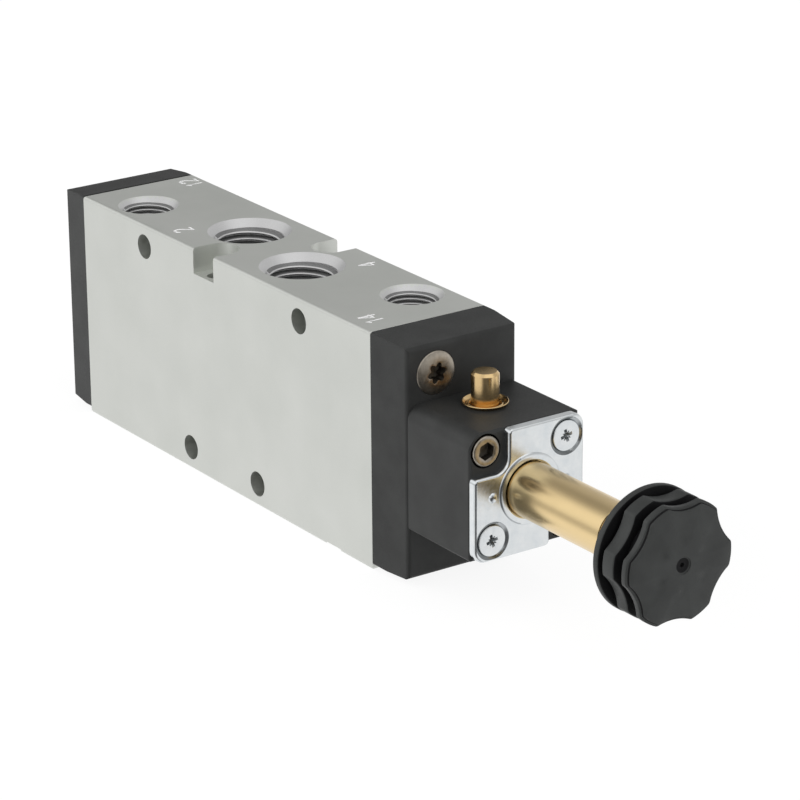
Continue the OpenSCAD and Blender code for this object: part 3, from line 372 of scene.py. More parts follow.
def take(piece):
    """Makes a piece the only one that is selected."""
    bpy.ops.object.select_all(action="DESELECT")
    piece.select_set(True)
    bpy.context.view_layer.objects.active = piece


@contextmanager
def editing(piece, mode="FACE"):
    """Edit mode for as long as the indented lines run."""
    take(piece)
    bpy.ops.object.mode_set(mode="EDIT")
    bpy.ops.mesh.select_mode(type=mode)
    yield
    bpy.ops.object.mode_set(mode="OBJECT")


def choose(piece, kind, test):
    """Selects the verts, edges or faces that pass a test, in edit mode."""
    shape = bmesh.from_edit_mesh(piece.data)
    bpy.ops.mesh.select_all(action="DESELECT")
    for part in getattr(shape, kind):
        part.select_set(test(part))
    shape.select_flush_mode()
    bmesh.update_edit_mesh(piece.data)


def modify(piece, kind, **settings):
    """Adds a modifier, sets it and applies it."""
    take(piece)
    bpy.ops.object.modifier_add(type=kind)
    modifier = piece.modifiers[-1]
    for key, value in settings.items():
        setattr(modifier, key, value)
    bpy.ops.object.modifier_apply(modifier=modifier.name)


def combine(piece, tool, operation="DIFFERENCE"):
    """Cuts a tool out of a piece, or welds it on, and clears the tool away."""
    modify(piece, "BOOLEAN", object=tool, operation=operation, solver="EXACT", material_mode="TRANSFER")
    bpy.data.objects.remove(tool)


def coated(tool, material):
    """Gives a tool a material, which the faces that it cuts or adds then keep."""
    tool.data.materials.append(material)
    return tool


def tidy(piece, gap=0.00002):
    """Merges what lies on one point and turns all faces outwards."""
    with editing(piece, "VERT"):
        bpy.ops.mesh.select_all(action="SELECT")
        bpy.ops.mesh.remove_doubles(threshold=gap * MM)
        bpy.ops.mesh.normals_make_consistent(inside=False)


def settle(piece):
    """Puts a piece's turn, size and place into its mesh."""
    take(piece)
    bpy.ops.object.transform_apply(location=True, rotation=True, scale=True)


def smooth(piece, degrees=32):
    take(piece)
    bpy.ops.object.shade_smooth_by_angle(angle=math.radians(degrees))


def hand_over(piece, body, slot, replaced=()):
    """Gives a piece its finish and the body that it moves with, and hides what it stands for."""
    if not piece.data.materials:
        piece.data.materials.append(FINISHES[slot])
    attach(piece, body)
    if replaced:
        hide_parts(*replaced)
    print(piece.name, "faces:", len(piece.data.polygons))


def lathe(name, outline, steps, turn, at):
    """Spins an outline of (radius, height) points in mm round Z, then turns and places it."""
    piece = start(bpy.ops.mesh.primitive_plane_add, name, size=MM)
    with editing(piece, "VERT"):
        bpy.ops.mesh.merge(type="CENTER")
        here = Vector((outline[0][0], 0, outline[0][1])) * MM
        bpy.ops.transform.translate(value=here)
        for radius, height in outline[1:]:
            there = Vector((radius, 0, height)) * MM
            bpy.ops.mesh.extrude_region_move(TRANSFORM_OT_translate={"value": there - here})
            here = there
        bpy.ops.mesh.select_all(action="SELECT")
        bpy.ops.mesh.spin(steps=steps, angle=2 * math.pi, center=(0, 0, 0), axis=(0, 0, 1))
        bpy.ops.mesh.select_all(action="SELECT")
        bpy.ops.mesh.remove_doubles(threshold=0.00005 * MM)
        bpy.ops.mesh.normals_make_consistent(inside=False)
    piece.rotation_euler = turn
    piece.location = Vector(at) * MM
    settle(piece)
    return piece


def arc(centre_r, centre_h, radius, start_deg, end_deg, count):
    """Points of a round corner for an outline, from one angle to the other."""
    points = []
    for step in range(count + 1):
        angle = math.radians(start_deg + (end_deg - start_deg) * step / count)
        points.append((centre_r + radius * math.cos(angle), centre_h + radius * math.sin(angle)))
    return points


UPRIGHT = (0, 0, 0)
ALONG_X = (0, math.pi / 2, 0)

# %% [markdown]
# ## The port numbers
# An engraving cutter writes each port's number as a groove with a round bottom. Strokes are
# drawn once per digit, on a grid of one by one, then placed on the top face. Each stroke becomes
# a thin tube, and the tubes are cut out of a copy of the body. The groove keeps the tube's bright
# finish, because a boolean carries the material of its tool across.

# %% Digit strokes
DIGIT_H = 3.5
DIGIT_W = 1.75
DIGIT_PITCH = DIGIT_W * 1.5
STROKE_R = 0.26
ROUND_TOP = [(0.5 + 0.5 * math.cos(math.radians(a)), 0.72 + 0.28 * math.sin(math.radians(a)))
    for a in range(160, -41, -20)]
DIGITS = {
    "1": [[(0.35, 0.78), (0.75, 1.0), (0.75, 0.0)]],
    "2": [ROUND_TOP + [(0.0, 0.0), (1.0, 0.0)]],
    "4": [[(0.72, 0.0), (0.72, 1.0)], [(0.72, 1.0), (0.0, 0.3), (1.0, 0.3)]],
}
# The middle of each number on the top face, in mm along X and Y
NUMBERS = {"12": (-44.35, 9.15), "2": (-19.35, -8.2), "4": (18.2, 8.35), "14": (43.85, -8.3)}


def stroke_tube(points):
    """A tube along the points, as the path that the cutter takes."""
    line = bpy.data.curves.new("stroke", "CURVE")
    line.dimensions = "3D"
    line.bevel_depth = STROKE_R * MM
    line.bevel_resolution = 2
    line.use_fill_caps = True
    spline = line.splines.new("POLY")
    spline.points.add(len(points) - 1)
    for spot, point in zip(spline.points, points):
        spot.co = (*(Vector(point) * MM), 1)
    tube = bpy.data.objects.new("stroke", line)
    bpy.context.scene.collection.objects.link(tube)
    take(tube)
    bpy.ops.object.convert(target="MESH")
    tidy(tube)
    return tube


def engraving_tool(number, centre):
    """All strokes of one number. The text runs towards -X, with its top towards -Y."""
    tubes = []
    for place, digit in enumerate(number):
        shift = (place - (len(number) - 1) / 2) * DIGIT_PITCH
        for stroke in DIGITS[digit]:
            tubes.append(stroke_tube([
                (centre[0] - shift - (u - 0.5) * DIGIT_W, centre[1] - (v - 0.5) * DIGIT_H, BODY_TOP)
                for u, v in stroke]))
    return tubes


# %% [markdown]
# ## The body
# The body's shape is right as it is, so its piece starts as a copy of the model's. Merging the
# copy's loose triangles makes it one skin, and triangles that lie in one plane become one face.
# Its old shading normals are cleared, because they would hide the sharp edges found later.
# The faces inside each port then get the machined finish, the numbers are cut, and weighted
# normals keep the flat faces flat.

# %% Copy the body and cut the numbers
PORTS = {mount["name"]: mount for mount in frame["record"]["mounts"]
    if mount["kind"] == "threaded_hole"}
# Share of the wall's radius that the chamfer reaches, then metres
CHAMFER_REACH = 1.25
PORT_REACH = 0.006
SAME_PLANE = 0.0002

casting = nodes["valve_body"].copy()
casting.data = nodes["valve_body"].data.copy()
casting.name = "engraved_body"
casting.parent = None
bpy.context.scene.collection.objects.link(casting)
tidy(casting, 0.01)
bpy.ops.mesh.customdata_custom_splitnormals_clear()
with editing(casting):
    bpy.ops.mesh.select_all(action="SELECT")
    bpy.ops.mesh.dissolve_limited(angle_limit=math.radians(0.5))
casting.data.materials.clear()
casting.data.materials.append(FINISHES["body_aluminium"])
casting.data.materials.append(FINISHES["spool_aluminium"])


def in_a_port(point):
    """True for a point inside a port or its chamfer."""
    for mount in PORTS.values():
        sideways = (point.xy - Vector(mount["pos_m"][:2])).length
        outwards = (point.z - mount["pos_m"][2]) * mount["axis"][2]
        top = BODY_TOP if mount["axis"][2] > 0 else 0
        on_face = abs(point.z - top * MM) < SAME_PLANE
        near_axis = sideways < mount["dims"]["r_mm"] * CHAMFER_REACH * MM
        if near_axis and outwards > -PORT_REACH and not on_face:
            return True
    return False


for face in casting.data.polygons:
    face.material_index = 1 if in_a_port(face.center) else 0

for number, centre in NUMBERS.items():
    for tube in engraving_tool(number, centre):
        combine(casting, coated(tube, engraved))
smooth(casting, 40)
modify(casting, "WEIGHTED_NORMAL", keep_sharp=True, weight=90)
hand_over(casting, "valve", "body_aluminium", ["valve_body"])

# %% [markdown]
# ## Threads
# A tap leaves a helical ridge inside each port. The ridge's section has four corners, and the
# Screw modifier winds it round the port's axis. It starts at the chamfer, on the near wall that
# the rim hides, and its root is sunk in the wall. At both ends it rises over a few steps. The
# crest has the machined finish, and the flanks get a darker copy of it, which is painted shade.

# %% Wind a thread
RIDGE_STEPS = 72
# Shares of the pitch
RIDGE_HALF = 0.44
CREST_HALF = 0.08
CREST_LEAN = 0.15
# Share of the height at the very end, and the steps to full height
END_RISE = 0.08
THREAD_FADE = 6
CREST_FACING = 0.65


def wind_ridge(ridge, root_r, crest_r, low, high, pitch):
    """Turns a plane into the helix, with its root at root_r and its crest at crest_r."""
    half = pitch * RIDGE_HALF
    flat = pitch * CREST_HALF
    corners = [(root_r, -half), (crest_r + pitch * CREST_LEAN, -flat), (root_r, half), (crest_r, flat)]
    for vertex, (radius, height) in zip(ridge.data.vertices, corners):
        vertex.co = Vector((radius, 0, height + low + half)) * MM
    turns = int((high - low - 2 * half) / pitch)
    modify(ridge, "SCREW", screw_offset=pitch * MM, iterations=turns, steps=RIDGE_STEPS,
        render_steps=RIDGE_STEPS, angle=2 * math.pi, axis="Z", use_merge_vertices=False)


def fade_ends(ridge, root_r):
    """Lets the ridge rise from the wall over the first steps at both its ends."""
    corners = 4
    last = len(ridge.data.vertices) // corners - 1
    for index, vertex in enumerate(ridge.data.vertices):
        step = index // corners
        radius = math.hypot(vertex.co.x, vertex.co.y)
        rise = min(1.0, END_RISE + min(step, last - step) / THREAD_FADE)
        share = (root_r * MM + (radius - root_r * MM) * rise) / radius
        vertex.co.x *= share
        vertex.co.y *= share


def thread_ridge(name, at, up, root_r, crest_r, low, high, pitch, flank, crest):
    """A closed ridge between two heights, with one finish on its flanks and one on its crest."""
    ridge = start(bpy.ops.mesh.primitive_plane_add, name, size=MM)
    wind_ridge(ridge, root_r, crest_r, low, high, pitch)
    fade_ends(ridge, root_r)
    with editing(ridge, "EDGE"):
        bpy.ops.mesh.select_all(action="DESELECT")
        bpy.ops.mesh.select_non_manifold()
        bpy.ops.mesh.edge_face_add()
    tidy(ridge)
    ridge.rotation_euler = up
    ridge.location = Vector(at) * MM
    settle(ridge)
    smooth(ridge, 30)
    ridge.data.materials.append(flank)
    ridge.data.materials.append(crest)
    axis = Vector(at) * MM
    for face in ridge.data.polygons:
        out = face.center - axis
        out[2 if up[1] == 0 else 0] = 0
        face.material_index = 1 if abs(face.normal.dot(out.normalized())) > CREST_FACING else 0
    return ridge


TOP_WIDE = {"pitch": 1.337, "depth": 11}
LOW_WIDE = {"pitch": 1.337, "depth": 9.5}
NARROW = {"pitch": 0.907, "depth": 8}
NARROW_LIMIT = 6
HIDDEN_START = math.radians(250)
ROOT_SUNK = 0.03
THREAD_HEIGHT = 0.64
THREAD_MARGIN = 0.3
for name, mount in PORTS.items():
    wall_r = mount["dims"]["r_mm"]
    upward = mount["axis"][2] > 0
    kind = NARROW if wall_r < NARROW_LIMIT else TOP_WIDE if upward else LOW_WIDE
    chamfer = kind["depth"] - mount["dims"]["length_mm"]
    at = (mount["pos_m"][0] / MM, mount["pos_m"][1] / MM, BODY_TOP if upward else 0)
    turn = (math.pi, 0, HIDDEN_START) if upward else UPRIGHT
    ridge = thread_ridge(name + "_thread", at, turn, wall_r + ROOT_SUNK,
        wall_r - kind["pitch"] * THREAD_HEIGHT, chamfer - THREAD_MARGIN, kind["depth"] - THREAD_MARGIN,
        kind["pitch"], thread_flank, FINISHES["spool_aluminium"])
    hand_over(ridge, "valve", "body_aluminium")

# %% [markdown]
# ## The stem
# The stem is bare brass with a thread at its end. It is drawn as one outline and spun. The thread's
# core is thinner than the tube, and a ridge of the real pitch is wound on it.

# %% Turn the stem
STEM_R = 5.0
STEM_BORE = 4.15
SPIGOT_R = 4.75
FLANGE_T = 1.6
STEM_LOW = span("stem_tube", 0)[0]
THREAD_LENGTH = 11.2
THREAD_PITCH = 0.75
RELIEF = 0.6
thread_x = STEM_END - THREAD_LENGTH
flange_r = span("stem_tube", 1)[1]
core_r = STEM_R - 0.42
stem = lathe("brass_stem", [
    (STEM_BORE, STEM_LOW), (SPIGOT_R, STEM_LOW), (SPIGOT_R, PLATE_BACK - FLANGE_T),
    (flange_r, PLATE_BACK - FLANGE_T), (flange_r, PLATE_BACK), (STEM_R, PLATE_BACK),
    (STEM_R, thread_x - 0.08), (STEM_R - 0.08, thread_x), (core_r, thread_x + 0.1),
    (core_r, STEM_END - 0.6), (core_r - 0.3, STEM_END), (STEM_BORE, STEM_END),
    (STEM_BORE, STEM_LOW)], 128, ALONG_X, (0, 0, AXIS_Z))
smooth(stem)
hand_over(stem, "valve", "satin_brass", ["stem_tube"])
stem_thread = thread_ridge("stem_thread", (0, 0, AXIS_Z), ALONG_X, core_r - ROOT_SUNK,
    STEM_R - 0.01, thread_x + RELIEF, STEM_END - THREAD_MARGIN, THREAD_PITCH,
    FINISHES["satin_brass"], FINISHES["satin_brass"])
hand_over(stem_thread, "valve", "satin_brass")

# %% [markdown]
# ## The coil nut
# Every section of the nut is a ring round the same axis, either a circle or a circle with six
# flutes. So the nut is one long ring that is extruded again and again, and each new ring is set
# to its own radius. Round edges are a few rings along a quarter circle.

# %% Flutes and rings
LOBES = 6
LOBE_R = 11.1
FLUTE_DEPTH_R = 9.85
FLUTE_ARC = 10.2
FLUTE_SOFT = 0.1
FLUTE_TURN = math.radians(26)
RING_POINTS = 240


def fluted(angle):
    """The nut's outer radius at an angle from Y towards Z."""
    reach = FLUTE_DEPTH_R + FLUTE_ARC
    radius = LOBE_R
    for lobe in range(LOBES):
        off = angle - FLUTE_TURN - 2 * math.pi * lobe / LOBES
        inside = FLUTE_ARC ** 2 - (reach * math.sin(off)) ** 2
        if math.cos(off) > 0 and inside > 0:
            near = reach * math.cos(off) - math.sqrt(inside)
            deep = radius - near
            radius -= 0.5 * (deep + math.hypot(deep, FLUTE_SOFT)) - FLUTE_SOFT * 0.05
    return radius


def ring(x, radius, flutes=False):
    """One ring of the nut: its place along X, its radius and whether the flutes cut it."""
    return (x, radius, flutes)


# %% [markdown]
# The list of rings goes from the washer seat at the back, out over the rear flange, through the
# two grooves and the two fluted discs, and over the domed front to the small gate mark.

# %% Model the nut
NUT_CORE = 8.4
FLANGE_R = 11.2
DOME_RISE = 0.65
STEP = 0.5
SOFT_EDGE = 0.35
FRONT_EDGE = 0.8
EDGE_RINGS = 5
# Places with the darker plastic: painted shade in the two grooves from the nut's back and on the step
# at the rim, and the gate mark
SHADED_GROOVES = [(1.3, 2.45), (5.35, 7.55)]
GATE_R = 1.3
GATE_DEPTH = 1.2
RIM_ZONE = 8


def disc(low, high, radius, edge, flutes):
    """Rings of one disc: up its back face, over its rim and down its front face."""
    turns = [math.pi / 2 * k / EDGE_RINGS for k in range(EDGE_RINGS + 1)]
    rings = [ring(low, NUT_CORE), ring(low, radius - edge, flutes)]
    rings += [ring(low + edge * (1 - math.cos(a)), radius - edge * (1 - math.sin(a)), flutes)
        for a in turns[1:]]
    rings += [ring(high - edge * (1 - math.sin(a)), radius - edge * (1 - math.cos(a)), flutes)
        for a in turns[:-1]]
    rings += [ring(high, radius - edge, flutes), ring(high, NUT_CORE)]
    return rings


def nut_rings():
    """All rings of the nut, from the threaded insert's seat to the gate mark on the front."""
    x = NUT_BACK
    rim = NUT_FRONT - DOME_RISE
    rings = [ring(x + 7.8, 0.01), ring(x + 7.8, 5.4), ring(x + 6.1, 5.4), ring(x + 6.1, 6.8),
        ring(x + 1.1, 6.8), ring(x + 1.1, 7.6), ring(x + 0.2, 7.6), ring(x, 7.8)]
    rings += disc(x, x + 1.4, FLANGE_R, SOFT_EDGE, False)[1:]
    rings += disc(x + 2.4, x + 5.4, LOBE_R, SOFT_EDGE, True)
    rings += disc(x + 7.5, rim - STEP, LOBE_R, 0.22, True)[:-1]
    for back, inset in ((STEP, 0.45), (STEP - 0.06, 0.52), (0.2, 0.56), (0.06, 0.62), (0, FRONT_EDGE)):
        rings.append(ring(rim - back, LOBE_R - inset, True))
    for share in (0.9, 0.8, 0.68, 0.55, 0.42, 0.3, 0.2, 0.15):
        dome_r = (LOBE_R - FRONT_EDGE) * share
        rings.append(ring(rim + DOME_RISE * (1 - share ** 2), dome_r, share > 0.5))
    for radius, dip in ((1.9, 0.0), (1.7, 0.04), (1.3, 0.25), (0.9, 0.42), (0.6, 0.34),
            (0.42, 0.4), (0.3, 0.85), (0.01, 1.0)):
        rings.append(ring(NUT_FRONT - 0.02 - dip, radius))
    return rings


def ring_piece(name, rings, count):
    """Extrudes a closed loop of points through all the rings, about the nut's axis."""
    piece = start(bpy.ops.mesh.primitive_circle_add, name, vertices=count, radius=MM)
    angles = [2 * math.pi * k / count for k in range(count)]

    def spread(vertices, spec):
        x, radius, flutes = spec
        for angle, vertex in zip(angles, vertices):
            reach = radius + (fluted(angle) - LOBE_R if flutes else 0)
            vertex.co = Vector((x, reach * math.cos(angle), AXIS_Z + reach * math.sin(angle))) * MM

    with editing(piece, "EDGE"):
        shape = bmesh.from_edit_mesh(piece.data)
        shape.verts.ensure_lookup_table()
        spread(shape.verts[:count], rings[0])
        for spec in rings[1:]:
            bpy.ops.mesh.extrude_region_move(TRANSFORM_OT_translate={"value": (0, 0, 0)})
            shape = bmesh.from_edit_mesh(piece.data)
            shape.verts.ensure_lookup_table()
            spread(shape.verts[-count:], spec)
        bmesh.update_edit_mesh(piece.data)
    tidy(piece)
    return piece


nut = ring_piece("coil_nut_moulding", nut_rings(), RING_POINTS)
smooth(nut, 40)
nut.data.materials.append(FINISHES["nut_plastic"])
nut.data.materials.append(gate_and_shade_plastic)
for face in nut.data.polygons:
    off_axis = (face.center.yz - Vector((0, AXIS_Z * MM))).length / MM
    along = face.center.x / MM
    rim = NUT_FRONT - DOME_RISE
    in_gate = along > NUT_FRONT - GATE_DEPTH and off_axis < GATE_R
    in_groove = any(low < along - NUT_BACK < high for low, high in SHADED_GROOVES)
    at_step = rim - STEP + 0.02 < along < rim - 0.15
    # Painted shade in the grooves and on the rim step, and the gate mark, get the darker plastic
    dark = in_gate or (off_axis > RIM_ZONE and (in_groove or at_step))
    face.material_index = 1 if dark else 0
hand_over(nut, "coil_nut", "nut_plastic", ["knob"])

# %% [markdown]
# ## The retaining plate
# The plate is stamped from sheet, so its front edges are rolled over and its back edges are
# sharp. Its outline starts as a square. Two bisects along each notch mark the corner that is
# then deleted, and each corner gets its own radius before the sheet is given its thickness.

# %% Cut and fold the plate
NOTCH_Y = 4.4
NOTCH_Z = 4.0
SHEET = 1.5
ROLL_R = 0.55
PLATE_SCREW = 7.9
DIMPLE_Y = 7.8
SAME_CORNER = 0.05
# Painted shade on the rolled edge: its faces that lean this way, outside the middle, get the darker
# zinc
ROLL_NORMAL_X = (0.80, 0.995)
ROLL_NORMAL_Y = -0.15
ROLL_OFF_AXIS = 4
ON_AXIS = (0, 0, AXIS_Z)
plate_front = PLATE_BACK + SHEET


def plate_blank():
    plate = start(bpy.ops.mesh.primitive_plane_add, "stamped_plate", size=2 * PLATE_HALF * MM)
    plate.rotation_euler = (math.pi / 2, 0, math.pi / 2)
    plate.location = Vector((PLATE_BACK, 0, AXIS_Z)) * MM
    settle(plate)
    with editing(plate):
        for side in (1, -1):
            lines = (((0, -side * NOTCH_Y, 0), (0, 1, 0)), ((0, 0, side * NOTCH_Z), (0, 0, 1)))
            for place, normal in lines:
                bpy.ops.mesh.select_all(action="SELECT")
                spot = (Vector(place) + Vector(ON_AXIS)) * MM
                bpy.ops.mesh.bisect(plane_co=spot, plane_no=normal)
        axis = Vector(ON_AXIS) * MM

        def in_notch(face):
            spot = (face.calc_center_median() - axis) / MM
            left = spot.y < -NOTCH_Y and spot.z > NOTCH_Z
            return left or (spot.y > NOTCH_Y and spot.z < -NOTCH_Z)

        choose(plate, "faces", in_notch)
        bpy.ops.mesh.delete(type="FACE")
        bpy.ops.mesh.select_all(action="SELECT")
        bpy.ops.mesh.dissolve_limited(angle_limit=math.radians(1))
        bpy.ops.mesh.select_mode(type="VERT")

        def corner(vertex, y, z):
            spot = (vertex.co - axis) / MM
            return any(abs(spot.y - s * y) < SAME_CORNER and abs(spot.z - s * z) < SAME_CORNER
                for s in (1, -1))

        for y, z, radius in ((PLATE_HALF, PLATE_HALF, 2.4), (-NOTCH_Y, NOTCH_Z, 2.6),
                (-PLATE_HALF, NOTCH_Z, 0.9), (-NOTCH_Y, PLATE_HALF, 0.9)):
            choose(plate, "verts", lambda vertex: corner(vertex, y, z))
            bpy.ops.mesh.bevel(offset=radius * MM, segments=12, affect="VERTICES")
        bpy.ops.mesh.select_all(action="SELECT")
        bpy.ops.mesh.extrude_region_move(TRANSFORM_OT_translate={"value": (SHEET * MM, 0, 0)})
        bpy.ops.mesh.select_all(action="SELECT")
        bpy.ops.mesh.normals_make_consistent(inside=False)
    return plate


def rolled_edge(plate, radius):
    """Rounds the front rim of the plate."""
    with editing(plate, "EDGE"):
        def on_rim(edge):
            return all(abs(v.co.x - plate_front * MM) < 0.00001 for v in edge.verts)
        choose(plate, "edges", on_rim)
        bpy.ops.mesh.bevel(offset=radius * MM, segments=8, affect="EDGES")


plate = plate_blank()
rolled_edge(plate, ROLL_R)
plate.data.materials.append(FINISHES["zinc_plate"])
collar = lathe("collar", [(0, plate_front - 0.3), (6.55, plate_front - 0.3), (6.55, plate_front),
    (6.45, plate_front + 0.12), (6.2, plate_front + 0.26), (5.9, plate_front + 0.3),
    (0, plate_front + 0.3)], 96, ALONG_X, ON_AXIS)
combine(plate, coated(collar, FINISHES["zinc_plate"]), "UNION")
for side in (-1, 1):
    dome = [(0, plate_front - 0.2), (0.95, plate_front - 0.2), (0.95, plate_front)]
    for degrees in range(15, 91, 15):
        a = math.radians(degrees)
        dome.append((0.9 * math.cos(a), plate_front + 0.5 * math.sin(a)))
    boss = lathe("boss", dome, 32, ALONG_X, (0, side * DIMPLE_Y, AXIS_Z))
    combine(plate, coated(boss, FINISHES["zinc_plate"]), "UNION")
bore = lathe("bore", [(0, PLATE_BACK - 1), (5.2, PLATE_BACK - 1), (5.2, plate_front + 0.15),
    (5.4, plate_front + 0.31), (5.4, plate_front + 1), (0, plate_front + 1)], 96, ALONG_X, ON_AXIS)
combine(plate, coated(bore, FINISHES["zinc_plate"]))
for side in (-1, 1):
    sink = [(0, PLATE_BACK - 1), (1.6, PLATE_BACK - 1), (1.6, PLATE_BACK), (2.85, plate_front - 0.35),
        (3.2, plate_front - 0.12), (3.45, plate_front - 0.02), (3.6, plate_front + 0.02),
        (3.6, plate_front + 1), (0, plate_front + 1)]
    tool = lathe("sink", sink, 64, ALONG_X, (0, side * PLATE_SCREW, AXIS_Z + side * PLATE_SCREW))
    combine(plate, coated(tool, shaded_zinc))
tidy(plate, 0.001)
# The darker zinc paints shade on the leaning faces of the rolled edge
plate.data.materials.append(rolled_zinc)
for face in plate.data.polygons:
    spot = face.center / MM - Vector(ON_AXIS)
    tilted = ROLL_NORMAL_X[0] < face.normal.x < ROLL_NORMAL_X[1] and face.normal.y < ROLL_NORMAL_Y
    if tilted and max(abs(v) for v in spot.yz) > ROLL_OFF_AXIS:
        face.material_index = len(plate.data.materials) - 1
smooth(plate, 35)
modify(plate, "WEIGHTED_NORMAL", keep_sharp=True, weight=80)
hand_over(plate, "valve", "zinc_plate", ["retaining_plate"])

# %% [markdown]
# ## Screws
# All screw heads are turned first. The drive recess is then cut: six lobes for the large screws,
# a hexagon for the socket screws and a cross with four thin marks for the plate's screws.

# %% Drive recesses
def prism(name, outline, low, high, taper=1.0):
    """A cutter with a flat outline in mm, from low to high along X, narrowed at its low end."""
    tool = start(bpy.ops.mesh.primitive_circle_add, name,
        vertices=len(outline), radius=MM, fill_type="NGON")
    for vertex, (y, z) in zip(tool.data.vertices, outline):
        vertex.co = Vector((high, y, z)) * MM
    with editing(tool):
        bpy.ops.mesh.select_all(action="SELECT")
        bpy.ops.mesh.extrude_region_move(TRANSFORM_OT_translate={"value": ((low - high) * MM, 0, 0)})
        bpy.ops.transform.resize(value=(1, taper, taper), center_override=(low * MM, 0, 0))
        bpy.ops.mesh.select_all(action="SELECT")
        bpy.ops.mesh.normals_make_consistent(inside=False)
    return tool


STAR_POINTS = 72


def star_outline(radius, wave):
    """Six round lobes: the radius swells and shrinks six times in a turn."""
    points = []
    for step in range(STAR_POINTS):
        angle = 2 * math.pi * step / STAR_POINTS
        swell = math.cos(6 * angle)
        reach = radius + wave * (swell - 0.10 * math.cos(12 * angle))
        points.append((reach * math.cos(angle), reach * math.sin(angle)))
    return points


def hexagon(flat_half):
    """Six corners, for half the width across the flats."""
    corner = flat_half / math.cos(math.pi / 6)
    return [(corner * math.cos(k * math.pi / 3), corner * math.sin(k * math.pi / 3)) for k in range(6)]


def cross_outline(arm, half):
    """A cross with small round corners between its arms."""
    points = []
    for quarter in range(4):
        turn = quarter * math.pi / 2
        local = [(arm, -half), (arm, half), (half + 0.22, half + 0.02), (half + 0.02, half + 0.22)]
        points += [(u * math.cos(turn) - v * math.sin(turn), u * math.sin(turn) + v * math.cos(turn))
            for u, v in local]
    return points


def move(tool, y, z, turn):
    """Turns a cutter about its own axis and moves it to its screw."""
    tool.rotation_euler = (turn, 0, 0)
    tool.location = Vector((0, y, z)) * MM
    settle(tool)
    return tool


# %% [markdown]
# ### Large screws in the end pieces
# Their heads are raised countersunk: a low dome over a cone. A thin bevel at the recess and the
# rim gets a bright steel: the rubbed edge of the real head, with a painted highlight. The recess
# itself gets a dark steel, which is painted shade.

# %% Make the four end screws
HEAD_R = 4.0
HEAD_RISE = 0.5
SHANK_R = 1.98
DOME_STEPS = 8
END_SCREW_Y = 5.6
END_SCREW_Z = 16.5
END_SCREW_REACH = 9


def dome_outline(face, low, direction):
    """Outline of a raised head from its shank's end to the middle of the dome."""
    cone = HEAD_R - SHANK_R
    outline = [(0, low), (SHANK_R, low), (SHANK_R, face - direction * cone),
        (HEAD_R, face - direction * 0.12), (HEAD_R, face)]
    for step in range(1, DOME_STEPS + 1):
        angle = math.pi / 2 * step / DOME_STEPS
        outline.append((HEAD_R * math.cos(angle), face + direction * HEAD_RISE * math.sin(angle)))
    return outline


def bevel_edges(screw, width, material):
    """Bevels the sharp edges of a head and gives the bevels the given material; the bright steel is
    rubbed wear with a painted highlight.
    """
    screw.data.materials.append(material)
    modify(screw, "BEVEL", width=width * MM, segments=2, limit_method="ANGLE",
        angle_limit=math.radians(50), material=len(screw.data.materials) - 1)
    smooth(screw, 40)


def end_screw(name, node, face, direction, y, z, turn, low):
    screw = lathe(name, dome_outline(face, low, direction), 80, ALONG_X, (0, y, z))
    screw.data.materials.append(FINISHES["dark_screw_steel"])
    top = face + direction * 0.8
    bottom = face - direction * 1.5
    star = coated(prism("star", star_outline(1.7, 0.3), bottom, top, 0.9), recess_steel)
    combine(screw, move(star, y, z, turn))
    bevel_edges(screw, 0.2, rubbed_steel)
    hand_over(screw, "valve", "dark_screw_steel", [node])


ADAPTER_FACE = span("pilot_adapter", 0)[1]
CAP_FACE = span("end_cap", 0)[0]
SIDES = ((1, "upper"), (-1, "lower"))
for side, word in SIDES:
    z = AXIS_Z + side * END_SCREW_Z
    end_screw("adapter_screw_" + word, "adapter_screws", ADAPTER_FACE, 1, -side * END_SCREW_Y, z,
        0.2 * side, BODY_END - END_SCREW_REACH)
    end_screw("cap_screw_" + word, "end_cap_screws", CAP_FACE, -1, side * END_SCREW_Y, z,
        0.3, -BODY_END + END_SCREW_REACH)

# %% [markdown]
# ### Socket screws in the block and cross screws in the plate
# The socket screws have plain round heads with a hexagon. The cross screws sit flush in the
# plate's countersinks.

# %% Make the four small screws
SMALL_SHANK_R = 1.48
SOCKET_HEAD_R = 2.75
SOCKET_HEAD_H = 3
CROSS_HEAD_R = 2.8
BLOCK_SCREW = 8.25


def socket_screw(name, y, z):
    low, high = span("block_screws", 0)
    under = high - SOCKET_HEAD_H
    outline = [(0, low), (SMALL_SHANK_R, low), (SMALL_SHANK_R, under), (SOCKET_HEAD_R, under),
        (SOCKET_HEAD_R, high - 0.3)]
    outline += arc(SOCKET_HEAD_R - 0.3, high - 0.3, 0.3, 0, 90, 3)
    outline += [(1.7, high), (1.6, high - 0.08), (0, high - 0.08)]
    screw = lathe(name, outline, 64, ALONG_X, (0, y, z))
    screw.data.materials.append(FINISHES["dark_screw_steel"])
    # The hexagon's walls get the dark steel: painted shade in the recess
    hollow = coated(prism("hex", hexagon(1.45), high - 1.7, high + 0.5), recess_steel)
    combine(screw, move(hollow, y, z, 0.35))
    bevel_edges(screw, 0.14, rubbed_steel)
    hand_over(screw, "valve", "dark_screw_steel", ["block_screws"])


